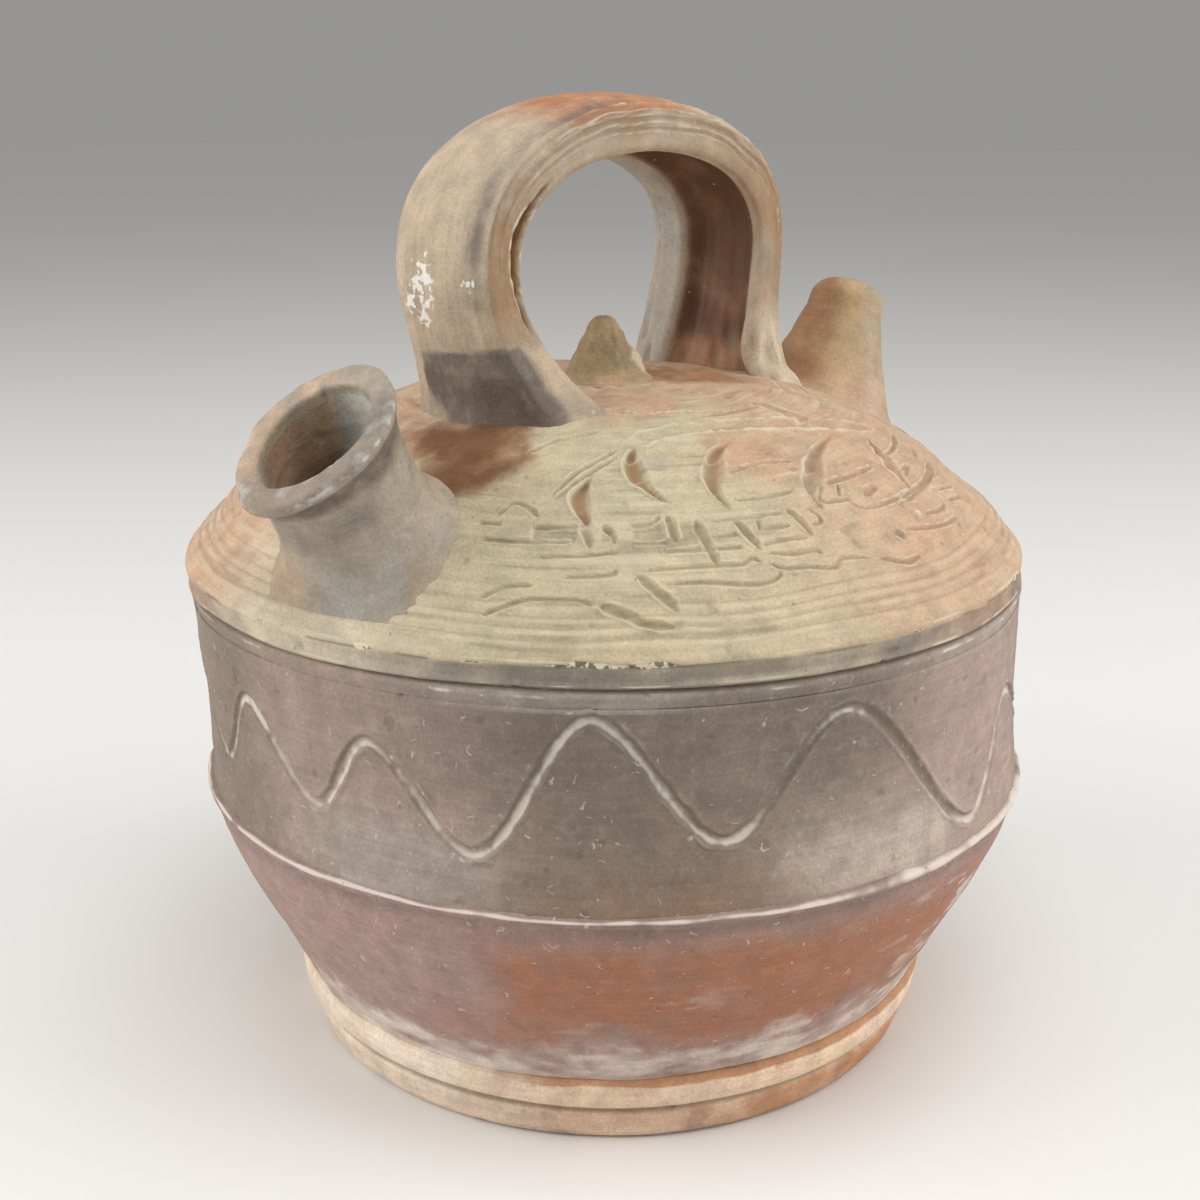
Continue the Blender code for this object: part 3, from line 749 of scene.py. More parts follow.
def make_drum(material):
    groove = (-RIM_GROOVE_DEPTH, 0.2)
    collar = (-0.5, -0.8), (-0.2, -1.7), (-0.6, -3.2), (-0.9, -4.2)
    top = rounded(beside(SHOULDER_RADIUS, DOME_SEAT_Z, groove, *collar), 5)
    above = np.arange(DOME_SEAT_Z - 5.0, WAVE_SPAN[1], -DRUM_STEP)
    carved = np.arange(WAVE_SPAN[1], WAVE_SPAN[0], -WAVE_ROW_STEP)
    below = np.linspace(WAVE_SPAN[0], SEAM_Z - 0.6, 8)
    wall = [(drum_radius(z), z) for z in np.concatenate((above, carved, below))]
    clay = turned(np.vstack((top, wall)), front_columns(*DRUM_FRONT))
    hand_made(clay, 200, wobble=0.5, lines=0.07)
    carve_wave(clay)
    colour_drum(clay)
    inner = [(SEAM_RADIUS - WALL, SEAM_Z - 0.6), (top[0, 0] - WALL, top[0, 1])]
    add_lined("jug_drum", "drum_wall", material, clay, inner)


def carve_wave(clay):
    """Carve the wave: a painted highlight along its lower side and a painted shadow along its upper edge,
    both uneven, and the groove painted darker at one place.
    """
    wave = wave_line()
    line = on_ring(wave[:, 0], drum_radius(wave[:, 1]), wave[:, 1])
    hit, across, bowl = clay.carve(line, **WAVE_TOOL)
    spots = clay.points.reshape(-1, 3)[hit]
    turn = clay.turn.reshape(-1)[hit]
    # Uneven strength of the painted highlight and shadow
    worn = 0.75 + 0.4 * noise(spots, 9, 203) + 0.35 * rough(spots, 2.2, 207, 2)
    worn = worn * (1.0 - 0.85 * peak(turn, 242, 4.5))
    deep = around(turn, 260, 6, 11)
    combed = (0.4 + 0.6 * peak(across, -0.4, 0.35)) * smooth(across, 0.62, 0.3)
    # Painted highlight on the lower side of the cut
    clay.touch("crest", hit, worn * (1.0 - 0.8 * deep) * combed * smooth(bowl, 0, 0.5))
    # Painted shadow along the upper edge of the cut
    clay.touch("groove", hit, 1.1 * worn * peak(across, 0.75, 0.28))
    # painted shade, darker at one place
    clay.touch("groove", hit, deep * smooth(bowl, 0.3, 0.8))


def colour_drum(clay):
    """Painted shade on the upper front under the shoulder, warm patches, a pale painted sheen on the right,
    and the collar under the dome, with painted shade right under its edge.
    """
    turn, height = clay.turn, clay.height
    clay.mark(
        # painted shade on the upper front, under the shoulder
        smoke_and_shade=0.5 * around(turn, 226, 16, 60) * smooth(height, 84, 112),
        ember_and_shade=0.4 * around(turn, 236, 14, 46) * smooth(height, 92, 76),
        ash=0.55 * around(turn, 193, 6, 22) * smooth(height, 102, 84),
        rose=0.7 * around(turn, 190, 8, 30),
        # painted shade just under the dome's edge
        groove=smooth(height, DOME_SEAT_Z - 0.9, DOME_SEAT_Z - 0.3),
    )
    clay.mark(rose=0.9 * around(turn, 275, 8, 32))
    # a pale painted sheen on the right
    painted_sheen = around(turn, 254, 4, 26) * smooth(height, 108, 80)
    clay.mark(rose=0.6 * painted_sheen, dust_and_sheen=0.5 * painted_sheen)
    collar = smooth(height, DOME_SEAT_Z - 5.6, DOME_SEAT_Z - 4.6)
    faint = 0.7 + 0.6 * clay.rough(16, 205)
    ragged = smooth(clay.rough(8, 206), 0, 0.7)
    clay.mark(
        ash=0.52 * collar * faint * (0.4 + 0.6 * smooth(turn, 194, 212)),
        groove=0.5 * faint * peak(height, DOME_SEAT_Z - 5.2, 0.3),
        crest=0.6 * ragged * peak(height, DOME_SEAT_Z - 1.3, 0.35),
    )


def make_belly(material):
    low = np.array((FOOT_BAND_RADIUS - 0.7, FOOT_HEIGHT + 0.3))
    high = np.array((SEAM_RADIUS, SEAM_Z - 2.4))
    full = np.array((BELLY_FULLNESS, 0.0))
    wall = bezier(high, between(low, high, 0.67) + full, between(low, high, 0.33), low, 120)
    ridge = beside(SEAM_RADIUS, SEAM_Z, (-1.0, 0.7), (0.7, 0.0), (SEAM_RIDGE, -1.1), (0.5, -2.1))
    ridge = rounded(ridge + beside(*wall[0], (-0.15, -0.2)), 5)
    crease = beside(*low, (-0.8, -0.5), (-1.6, -0.7))
    clay = turned(np.vstack((ridge, even(wall, BELLY_STEP)[1:], crease)), columns(BELLY_COLUMNS))
    hand_made(clay, 300, wobble=0.4, lines=0.1)
    colour_belly(clay)
    inner = [(r - WALL, z) for r, z in np.vstack((even(wall, 9.0)[::-1], [(SEAM_RADIUS, SEAM_Z + 0.7)]))]
    add_lined("jug_belly", "belly_wall", material, clay, inner)


def colour_belly(clay):
    """The worn seam ridge with painted shade just below it, the warm front, and scum and scuffs above the
    foot.
    """
    turn, height = clay.turn, clay.height
    thick = 0.36 + 0.6 * smooth(turn, 232, 262)
    crest = peak(height + 0.3 * clay.noise(11, 304), SEAM_Z - 0.4, thick)
    clay.relief += crest * 0.4 * clay.noise(5, 305)
    uneven = 8.0 * clay.rough(18, 310, 4)
    warm = smooth(turn + uneven, 192, 220) * smooth(turn + uneven, 306, 260)
    flat = clay.points * (0.45, 0.45, 1.8)
    ragged = height + 5.0 * clay.rough(12, 307, 4)
    scuffed = smooth(turn, 248, 276) * smooth(height, 72, 64)
    clay.mark(
        crest=crest * (0.85 + 0.6 * clay.rough(7, 306)),
        # painted shade under the seam ridge
        smoke_and_shade=0.4 * smooth(height, SEAM_Z - 8, SEAM_Z - 4),
        ember_and_shade=0.9 * warm * smooth(height + uneven, 18, 40) * smooth(height, 74, 56),
        rose=0.6 * around(turn, 180, 10, 42),
        dust_and_sheen=0.85 * smooth(ragged, 34, 26) * (0.75 + 0.5 * rough(flat, 5, 308)),
    )
    clay.mark(dust_and_sheen=0.4 * smooth(rough(flat, 9, 309, 4), 0.3, 0.9) * smooth(ragged, 58, 40))
    clay.mark(dust_and_sheen=0.75 * scuffed * smooth(rough(flat, 6, 311, 4), 0.1, 0.6))


def bezier(a, b, c, d, steps):
    share = np.linspace(0.0, 1.0, steps + 1)[:, None]
    return cubic(share, *(np.asarray(point, float) for point in (a, b, c, d)))


def cubic(share, a, b, c, d):
    """A curve from a to d, drawn towards b and c on its way."""
    rest = 1 - share
    return rest**3 * a + 3 * share * rest**2 * b + 3 * share**2 * rest * c + share**3 * d


def make_foot(material):
    groove_radius = between(FOOT_RADIUS, FOOT_BAND_RADIUS, FOOT_GROOVE_Z / FOOT_HEIGHT)
    outside = beside(FOOT_BAND_RADIUS, FOOT_HEIGHT, (-1.7, 0.3), (-0.5, -0.5), (0.0, -1.8), (-0.1, -4.6))
    outside += beside(FOOT_BAND_RADIUS, FOOT_GROOVE_Z, (-0.9, 2.2))
    outside += beside(groove_radius, FOOT_GROOVE_Z, (-0.2, 0.9), (-1.1, 0.0), (-0.1, -1.6))
    outside += beside(FOOT_RADIUS, 0.0, (1.1, 4.4), (0.2, 1.7), (-1.4, 0.25), (-4.0, 0.0))
    outside = rounded(outside, 6)
    radii = np.linspace(FOOT_RADIUS - 5.0, 1.0, 60)
    under = [(r, 0.25 * smooth(FOOT_RADIUS - 4 - r, 0, 6)) for r in radii]
    clay = turned(np.vstack((outside, under)), columns(FOOT_COLUMNS))
    hand_made(clay, 400, wobble=0.3, lines=0.07)
    clay.relief *= smooth(clay.height, -0.1, 1.6) * 0.9 + 0.1
    chip_edge(clay, FOOT_RADIUS, 0.6, 0.35)
    stain_foot(clay)
    inside = [(1.0, FLOOR_THICKNESS), (FOOT_RADIUS - 2 * WALL, FLOOR_THICKNESS)]
    inside += [(FOOT_RADIUS - WALL, FLOOR_THICKNESS + 3.0), (FOOT_BAND_RADIUS - WALL, FOOT_HEIGHT + 0.3)]
    inner = turned(inside, columns(FOOT_COLUMNS))
    add_piece("jug_foot", "foot_base", material, *joined(inner, clay))


def stain_foot(clay):
    """Shaded groove and joint, a rosy lower band, smudges, and dust on the left."""
    turn, height = clay.turn, clay.height
    left = smooth(turn, 216, 196) * smooth(turn, 110, 150)
    lower = smooth(height, FOOT_GROOVE_Z, FOOT_GROOVE_Z - 1.5)
    blotchy = clay.rough(14, 405, 4)
    joint = smooth(height + 0.6 * blotchy, FOOT_HEIGHT - 2, FOOT_HEIGHT - 1.2)
    clay.mark(
        groove=0.75 * peak(height, FOOT_GROOVE_Z, 0.9) * (clay.radius > FOOT_RADIUS - 1.0),
        rose=lower * (0.75 + 0.4 * blotchy) * (1.0 - 0.6 * left),
        ember_and_shade=joint * smooth(turn, 192, 212),
        smoke_and_shade=0.42 * (0.5 + 0.5 * lower) * smooth(clay.rough(7, 407, 4), 0.15, 0.7),
        dust_and_sheen=0.7 * left * (0.8 + 0.5 * blotchy),
    )
    clay.mark(
        groove=0.4 * smooth(height, FOOT_HEIGHT - 0.5, FOOT_HEIGHT),
        rose=0.45 * smooth(clay.rough(9, 406, 4), 0.1, 0.7),
        ember_and_shade=lower * (0.75 * smooth(turn, 228, 248) + 0.6 * smooth(blotchy, 0.1, 0.6)),
    )


def make_knob(material):
    height = KNOB_TOP_Z - DOME_TOP_Z
    side = rounded(
        [
            (0.6, KNOB_TOP_Z),
            (1.9, KNOB_TOP_Z - 0.4),
            (0.36 * KNOB_RADIUS, KNOB_TOP_Z - 1.9),
            (0.62 * KNOB_RADIUS, DOME_TOP_Z + 0.56 * height),
            (0.87 * KNOB_RADIUS, DOME_TOP_Z + 0.28 * height),
            (1.1 * KNOB_RADIUS, DOME_TOP_Z + 0.08 * height),
            (KNOB_RADIUS + 4.0, dome_height(KNOB_RADIUS + 4.0) - KNOB_SINK),
        ],
        8,
    )
    clay = turned(side, columns(KNOB_COLUMNS))
    hand_made(clay, 500, wobble=0.6, lines=0.12, grit=0.08)
    lump = np.linalg.norm(clay.points - (5.0, -6.5, DOME_TOP_Z + 4.0), axis=-1)
    clay.relief += 0.7 * (1.0 - smooth(lump, 2, 5.5)) + 0.5 * clay.rough(6, 504)
    clay.relief[-6:] *= np.linspace(1.0, 0.0, 6)[:, None]
    dusty = 0.3 * smooth(clay.rough(3, 506), 0.2, 0.8)
    clay.mark(
        smoke_and_shade=0.2 + 0.35 * clay.rough(8, 505),
        dust_and_sheen=0.7 * (1.0 - smooth(lump, 2, 5)) + dusty,
        rose=0.5 * (1.0 - smooth(clay.height, DOME_TOP_Z + 0.2, DOME_TOP_Z + 4.5)),
    )
    inner = [(DOME_HOLE_RADIUS - 0.3, DOME_TOP_Z - 1.0), (DOME_HOLE_RADIUS - 0.3, DOME_TOP_Z - WALL)]
    add_lined("jug_knob", "top_knob", material, clay, inner, loop=False)


def grid_normals(rows, loop):
    """Outward normals of a grid of points."""
    sideways = np.roll(rows, -1, axis=1) - np.roll(rows, 1, axis=1)
    onward = np.roll(rows, -1, axis=0) - np.roll(rows, 1, axis=0) if loop else np.gradient(rows, axis=0)
    normals = np.cross(onward, sideways)
    normals /= np.linalg.norm(normals, axis=-1, keepdims=True) + 1e-9
    return -normals if inside_out(rows, loop) else normals


def handle_path():
    """Centre line of the strap as (x, z) points, from the filling side's foot over to the other."""
    crown = np.array((-HANDLE_SHIFT, HANDLE_TOP_Z - STRAP_THICKNESS / 2))
    halves = []
    for side in (-1, 1):
        widest = np.array((side * HANDLE_SPAN / 2 - HANDLE_SHIFT, crown[1] - HANDLE_WIDEST_DROP))
        foot_x = side * HANDLE_REACH[side]
        foot = np.array((foot_x, dome_height(foot_x) - STRAP_THICKNESS))
        rise = np.array((0.0, widest[1] - foot[1]))
        lift = np.array((0.0, 0.6 * HANDLE_WIDEST_DROP))
        shoulder = np.array((between(widest[0], crown[0], 0.42), crown[1]))
        leg = bezier(foot, foot + 0.5 * rise, widest - 0.35 * rise, widest, 80)
        arch = bezier(widest, widest + lift, shoulder, crown, 80)
        half = np.vstack((leg, arch[1:]))
        halves.append(half if side < 0 else half[-2::-1])
    return np.vstack(halves)


def strap_section(x, spread, count):
    """Outline across the strap: (sideways, outward) points, and their shares of the half sizes."""
    angle = np.linspace(0.0, math.tau, 8 * count + 1)
    power = 2.0 / STRAP_ROUND
    side = np.sign(np.cos(angle)) * np.abs(np.cos(angle)) ** power
    depth = np.sign(np.sin(angle)) * np.abs(np.sin(angle)) ** power
    hollow = smooth(1.0 - ((side - STRAP_HOLLOW_AT) / STRAP_HOLLOW_SPAN) ** 2) * (depth < 0)
    width = between(STRAP_WIDTHS[-1], STRAP_WIDTHS[1], smooth(x / HANDLE_SPAN, -0.5, 0.5))
    end = -1 if x < 0 else 1
    half_width = between(width, STRAP_FOOT_WIDTHS[end], spread) / 2
    half_depth = between(STRAP_THICKNESS, STRAP_FOOT_THICKNESS[end], spread) / 2
    crown = np.where(depth > 0, STRAP_CROWN * side**2, 0.0)
    outward = depth * (1.0 - crown) * half_depth + STRAP_HOLLOW * hollow
    outline = np.stack((side * half_width, outward, side, depth), axis=-1)
    along = lengths(outline[:, :2])
    marks = np.linspace(0.0, along[-1], count, endpoint=False)
    return np.stack([np.interp(marks, along, axis) for axis in outline.T], axis=-1)


def strap_skirt(ring, along, end):
    """Rows that flare from the strap's lowest ring out on to the dome."""
    centre = np.array((end * HANDLE_REACH[end] + STRAP_FOOT_SHIFT[end], 0.0))
    away = ring[:, :2] - ring[:, :2].mean(axis=0)
    length = np.linalg.norm(away, axis=1, keepdims=True)
    turn = np.arctan2(away[:, 1:], away[:, :1]) - math.radians(STRAP_FRONT_TURN)
    front = STRAP_FRONT_FLARE[end] * smooth(np.cos(turn), 0.1, 0.9) * SWAY_DIRECTION[:2]
    front *= 1.0 + 0.25 * noise(ring, 9, 610)[:, None]
    plan = centre + away * (1.0 + STRAP_FLARE[end] / length) + front
    inner_plan = centre + away * (1.0 + 0.45 * STRAP_FLARE[end] / length) + 0.3 * front
    foot, near_foot = drop_on_dome(plan, SKIRT_SINK), drop_on_dome(inner_plan)
    near_neck = ring - along * STRAP_SKIRT_AT[end] * STRAP_SKIRT_PULL
    return skirt_rows(foot, near_foot, near_neck, ring, STRAP_SKIRT_ROWS)


def skirt_rows(foot, near_foot, near_neck, neck, steps):
    share = np.linspace(0.0, 1.0, steps, endpoint=False)[:, None, None]
    return cubic(share, foot, near_foot, near_neck, neck)


def make_handle(material):
    path = even(handle_path(), STRAP_STEP)
    tangent = np.gradient(path, axis=0)
    tangent /= np.linalg.norm(tangent, axis=1)[:, None]
    above = path[:, 1] - dome_height(path[:, 0])
    clear = np.flatnonzero(above > np.where(path[:, 0] < 0, STRAP_SKIRT_AT[-1], STRAP_SKIRT_AT[1]))
    rings = []
    for i in clear:
        spread = (1.0 - smooth(above[i], 0, STRAP_FOOT_HEIGHT)) ** 2
        section = strap_section(path[i, 0], spread, STRAP_COLUMNS)
        centre = np.array((path[i, 0], 0.0, path[i, 1]))
        outward = np.array((-tangent[i, 1], 0.0, tangent[i, 0]))
        rings.append(centre + np.outer(section[:, 0], (0, 1, 0)) + np.outer(section[:, 1], outward))
    along = [np.array((tangent[i, 0], 0.0, tangent[i, 1])) for i in (clear[0], clear[-1])]
    fill_skirt = strap_skirt(rings[0], along[0], -1)
    pour_skirt = strap_skirt(rings[-1], -along[1], 1)
    rows = np.concatenate((fill_skirt, np.array(rings), pour_skirt[::-1]))
    girth = np.linspace(0.0, 2 * (STRAP_WIDTHS[1] + STRAP_THICKNESS), STRAP_COLUMNS)[None, :]
    onward = np.arange(len(rows))[:, None] * STRAP_STEP
    clay = Clay(rows, grid_normals(rows, False), girth)
    streak = np.stack(np.broadcast_arrays(girth, onward / 30.0, 0.0), axis=-1)
    ends = smooth(np.minimum(onward, onward[::-1]), 0, 9)
    pulled = 0.14 * noise(streak, 1.5, 601) + 0.3 * noise(streak, 5, 602)
    clay.relief += ends * (0.5 * clay.rough(30, 600, 2) + pulled + 0.05 * clay.rough(1.8, 603, 2))
    strap_lines(clay, rows)
    strap_colours(clay, rows, ends)
    add_piece("jug_handle", "handle", material, clay.grid(), clay.marks)


def strap_colours(clay, rows, ends):
    """Smoked roots, painted shadow and a painted red reflection in the hollow, ashy edges, painted shade
    along the crease and partly on the side faces, a painted red reflection on the crown, and lime splashes.
    """
    x, y, z = rows[..., 0], rows[..., 1], rows[..., 2]
    side, depth = strap_section(0.0, 0.0, STRAP_COLUMNS)[:, 2:].T
    blotchy = clay.rough(9, 604)
    near = smooth(x, 5, -20)
    rightward = (x + HANDLE_REACH[-1]) * SWAY_DIRECTION[0] + y * SWAY_DIRECTION[1]
    root = smooth(z - 0.12 * rightward, 190.5, 188.5) * (x < 0)
    below = STRAP_ROOT_Z - z
    root = root * smooth(0.6 * below - rightward, -9, -5)
    root = root * smooth(rightward - 0.45 * below + 4 * blotchy, -24, -17)
    root = root * (1.0 - smooth(side, 0.2, 0.6) * smooth(depth, 0.2, -0.4))
    # The hollow is painted with shadow and a reflection of red light
    hollow = smooth(1.0 - ((side - STRAP_HOLLOW_AT) / 0.64) ** 2, 0.0, 0.4) * smooth(depth, -0.5, -0.8)
    far_rim = smooth(side, 0.25, 0.5) * smooth(depth, -0.2, -0.6)
    # The side faces: partly their own brown, partly painted shade
    flank = smooth(side, -0.9, -0.98) * smooth(z, 182, 198)
    # Painted shade along the crease, in a shallow dip
    crease = peak(side, -0.72, 0.18) * (depth > 0) * smooth(z, 192, 208) * near
    # The crown's rose is a painted reflection of red light
    crown = smooth(z + 2.5 * blotchy, 234, 246) * smooth(depth, 0.3, 0.8)
    clay.relief -= 0.7 * crease
    clay.mark(
        smoke_and_shade=root * (0.95 + 0.2 * blotchy) + 0.4 * smooth(z, 181, 174) * near,
        char_and_shade=root * (0.05 + 0.3 * smooth(z, 183.5, 182.5)),
        ember_and_shade=hollow,
        ash=far_rim * (0.75 + 0.3 * blotchy),
        rust=flank * (0.48 + 0.2 * blotchy) * (1.0 - 0.3 * smooth(z, 216, 236)),
        rose=0.95 * crown * around(x, -9, 14, 36),
    )
    # painted shadow deep in the hollow, and partly painted shade on the side faces
    clay.mark(
        char_and_shade=hollow * (0.9 + 0.2 * blotchy) * smooth(z, 176, 184),
        smoke_and_shade=flank * (0.6 + 0.2 * blotchy) * (1.0 - 0.45 * smooth(z, 222, 238)),
    )
    # partly painted shade on the far leg's side
    clay.mark(smoke_and_shade=0.55 * flank * smooth(x, 20, 45))
    # painted shade along the crease
    clay.mark(smoke_and_shade=0.7 * crease * (0.9 + 0.5 * blotchy))
    drips = smooth(z, 192, 178) * (x > 0)
    fold = noise(rows * (1, 1, 0.2), 2.8, 606)
    strands = drips * smooth(side, -0.3, -0.6) * smooth(depth, -0.2, -0.6) * smooth(fold, -0.2, 0.3)
    clay.relief += 0.9 * drips * ends * fold + 0.7 * strands * ends
    # painted shade in the folds of the drips
    clay.mark(groove=0.65 * drips * smooth(fold, -0.1, -0.6), dust_and_sheen=0.65 * strands)
    clay.mark(dust_and_sheen=0.55 * drips * smooth(y, -4, -16) * smooth(fold, -0.1, 0.5))
    for centre, size in LIME_SPLASHES:
        gap = np.linalg.norm(rows - centre, axis=-1) / size
        clay.mark(lime=1.0 - smooth(gap + 0.4 * clay.rough(3, 605), 0.2, 1.1))


def strap_lines(clay, rows):
    """The open slit by the near leg's inner edge, and the lines that pulling left along the strap."""
    shares = strap_section(0.0, 0.0, STRAP_COLUMNS)[:, 2:]

    def near_side(depth):
        return np.linalg.norm(shares - (-1.0, depth), axis=1).argmin()

    for depth, low, width, cut, burr in STRAP_LINES:
        line = rows[:, near_side(depth)]
        line = line[line[:, 2] > low]
        line = line + 0.7 * noise(line, 9, 607)[:, None] * (0.0, 0.0, 1.0)
        clay.carve(line[::3], width, cut, burr, fade=0.25, shade=0.5, pale=0.6)
    line = rows[: len(rows) // 2, near_side(SLIT_DEPTH_SHARE)]
    line = line[(line[:, 2] > SLIT_HEIGHTS[0]) & (line[:, 2] < SLIT_HEIGHTS[1])]
    hit, _, bowl = clay.carve(line[::3], **SLIT_TOOL)
    # The slit's depth is painted black as shade.
    clay.touch("char_and_shade", hit, 3.0 * bowl)


class Axis:
    """A spout's straight centre line, with ring planes that may lean and twist away from it."""

    def __init__(self, spec):
        radius = SHOULDER_RADIUS - spec["inset"]
        self.turn = spec["turn"]
        self.foot = on_ring(self.turn, radius, dome_height(radius))
        self.foot_lean = math.degrees(math.atan(-dome_slope(radius)))
        self.along = self.direction(spec["lean"])

    def direction(self, lean, twist=0.0):
        lean = math.radians(lean)
        return on_ring(self.turn + twist, math.sin(lean), math.cos(lean))

    def ring(self, distance, radius, lean, draw=0.0, twist=0.0):
        """Circle round the axis. A positive draw pulls its outer side outward."""
        angle = columns(SPOUT_COLUMNS)
        sideways = on_ring(self.turn + twist + 90.0, 1.0, 0.0)
        downhill = np.cross(sideways, self.direction(lean, twist))
        reach = radius + draw * np.clip(np.cos(angle), 0.0, None) ** 3
        centre = self.foot + self.along * distance
        return centre + np.outer(reach * np.cos(angle), downhill) + np.outer(radius * np.sin(angle), sideways)

    def skirt(self, spec, radii):
        """Rows that sweep from the dome up into the neck."""
        neck = self.ring(spec["neck_at"], radii["neck"], spec["lean"])
        foot = self.ring(0.0, radii["skirt"], self.foot_lean)
        radius = np.hypot(foot[:, 0], foot[:, 1])[:, None]
        foot[:, :2] *= np.minimum(1.0, (SHOULDER_RADIUS - 1.5) / radius)
        near_foot = between(foot, self.foot, 0.28)
        start = spec["neck_at"] * (1.0 - spec["sweep"])
        near_neck = self.ring(start, radii["neck"] * spec["cone"], spec["lean"])
        sunk = drop_on_dome(foot, SKIRT_SINK)
        return list(skirt_rows(sunk, drop_on_dome(near_foot), near_neck, neck, SKIRT_ROWS))


def drill(spec, radius):
    """Cutter in line with a spout's bore."""
    axis = Axis(spec)
    rows = np.array([axis.ring(d, radius, spec["lean"]) for d in (-4 * WALL, 2 * WALL)])
    return add_piece("drill", None, None, rows)


def spout_clay(axis, rows, seed):
    rows = np.array(rows)
    distance = ((rows - axis.foot) @ axis.along).mean(axis=1)
    clay = Clay(rows, grid_normals(rows, True), distance[:, None])
    hand_made(clay, seed, wobble=0.45, lines=0.1, grit=0.06)
    clay.relief[:SKIRT_ROWS] *= smooth(np.linspace(0, 1, SKIRT_ROWS), 0, 0.6)[:, None]
    return clay


def make_filling_spout(material):
    axis = Axis(FILL)
    lip_at = FILL["length"] - FILL_RIM_RISE
    neck_at, lean = FILL["neck_at"], FILL["lean"]
    rows = axis.skirt(FILL, FILL_RADII)
    for share in np.linspace(0.0, 1.0, 22, endpoint=False):
        tilt = between(lean, FILL_MOUTH_LEAN, smooth(share))
        radius = between(FILL_RADII["neck"], FILL_RADII["lip"], share**2.6)
        distance = between(neck_at, lip_at, share)
        rows.append(axis.ring(distance, radius, tilt, FILL_LIP_DRAW * share, FILL_MOUTH_TWIST * share))
    first_rim = len(rows)
    middle = (FILL_RADII["lip"] + FILL_RADII["mouth"]) / 2
    half = (FILL_RADII["lip"] - FILL_RADII["mouth"]) / 2
    for bend in np.linspace(0.0, math.pi, 18, endpoint=False):
        radius = middle + half * math.copysign(abs(math.cos(bend)) ** 0.6, math.cos(bend))
        distance = lip_at + FILL_RIM_RISE * math.sin(bend) ** 0.6
        draw = FILL_LIP_DRAW * (0.75 + 0.25 * math.cos(bend))
        rows.append(axis.ring(distance, radius, FILL_MOUTH_LEAN, draw, FILL_MOUTH_TWIST))
    first_inside = len(rows)
    for share in np.linspace(0.0, 1.0, 16, endpoint=False):
        tilt = between(FILL_MOUTH_LEAN, lean, smooth(share))
        radius = between(FILL_RADII["mouth"], FILL_RADII["bore"], 1.0 - (1.0 - share) ** 2)
        draw, twist = FILL_LIP_DRAW / 2 * (1.0 - share), FILL_MOUTH_TWIST * (1.0 - share)
        rows.append(axis.ring(between(lip_at, neck_at, share), radius, tilt, draw, twist))
    for distance in np.linspace(neck_at, -1.5 * WALL, 12):
        rows.append(axis.ring(distance, FILL_RADII["bore"], lean))
    clay = spout_clay(axis, rows, 700)
    row = np.arange(len(rows))[:, None]
    rim = smooth(row, first_rim - 4, first_rim + 3) * smooth(row, first_inside + 1, first_inside - 4)
    clay.relief += rim * (0.5 * clay.noise(13, 707) + 0.35 * clay.noise(4, 708))
    colour_rim(clay, axis, rim, row - first_rim)
    colour_mouth(clay, axis, row - first_inside)
    stain_outside(clay, axis, row, first_rim)
    add_piece("jug_filling_spout", "filling_spout", material, clay.grid(), clay.marks, loop=True)


def to_the_right(clay, axis):
    """How far points lie to the right of a spout's foot, as the camera sees it."""
    return (clay.points - axis.foot) @ SWAY_DIRECTION


def colour_rim(clay, axis, rim, past_lip):
    """The filling spout's lip: rosy on the left, smoked in front, a painted glint along its outer edge, and a
    painted shadow on the neck below it.
    """
    rightward = to_the_right(clay, axis)
    frontward = (clay.points - axis.foot) @ (-SWAY_DIRECTION[0] * 1.2, SWAY_DIRECTION[1] * 0.84, 0.0)
    front = smooth(frontward, 6, 17)
    speckled = clay.rough(4, 710, 4)
    # Painted shadow on the neck just under the lip
    below = smooth(past_lip, -16, -7) * smooth(past_lip, 0, -2) * smooth(frontward, -4, 8)
    # Painted glint along the lip's outer edge
    lip_glint = peak(past_lip, 1.5, 1) * smooth(frontward, 4, 12)
    clay.mark(
        rose=rim * (0.6 + 0.5 * speckled) * smooth(rightward, 6, -10),
        char_and_shade=0.36 * rim * front * smooth(rightward, 15, 6),
        ash=rim * (0.34 + 0.4 * speckled) * front,
        smoke_and_shade=rim * (0.48 + 0.4 * speckled) * front,
        dust_and_sheen=rim * (0.1 + 0.5 * speckled),
        # painted glint on the lip's edge
        crest=0.7 * lip_glint * smooth(clay.rough(2, 711, 4), 0, 0.7),
    )
    # painted shadow under the lip
    clay.mark(smoke_and_shade=below * (0.72 + 0.3 * speckled), char_and_shade=0.34 * below * (0.9 + 0.4 * speckled))


def colour_mouth(clay, axis, inward):
    """The filling spout's inside: pale on the right, warm on the left, and painted shade, black, in its
    depth.
    """
    rightward = to_the_right(clay, axis)
    inside = smooth(inward, -2, 3)
    clay.mark(
        ash=inside * smooth(rightward, -8, -1),
        dust_and_sheen=inside * smooth(rightward, -7, 2) * (0.85 + 0.3 * clay.rough(4, 710, 4)),
        ember_and_shade=inside * smooth(rightward, -3, -9) * 0.6,
        # painted shade deep in the bore
        char_and_shade=smooth(inward, 10, 24),
    )


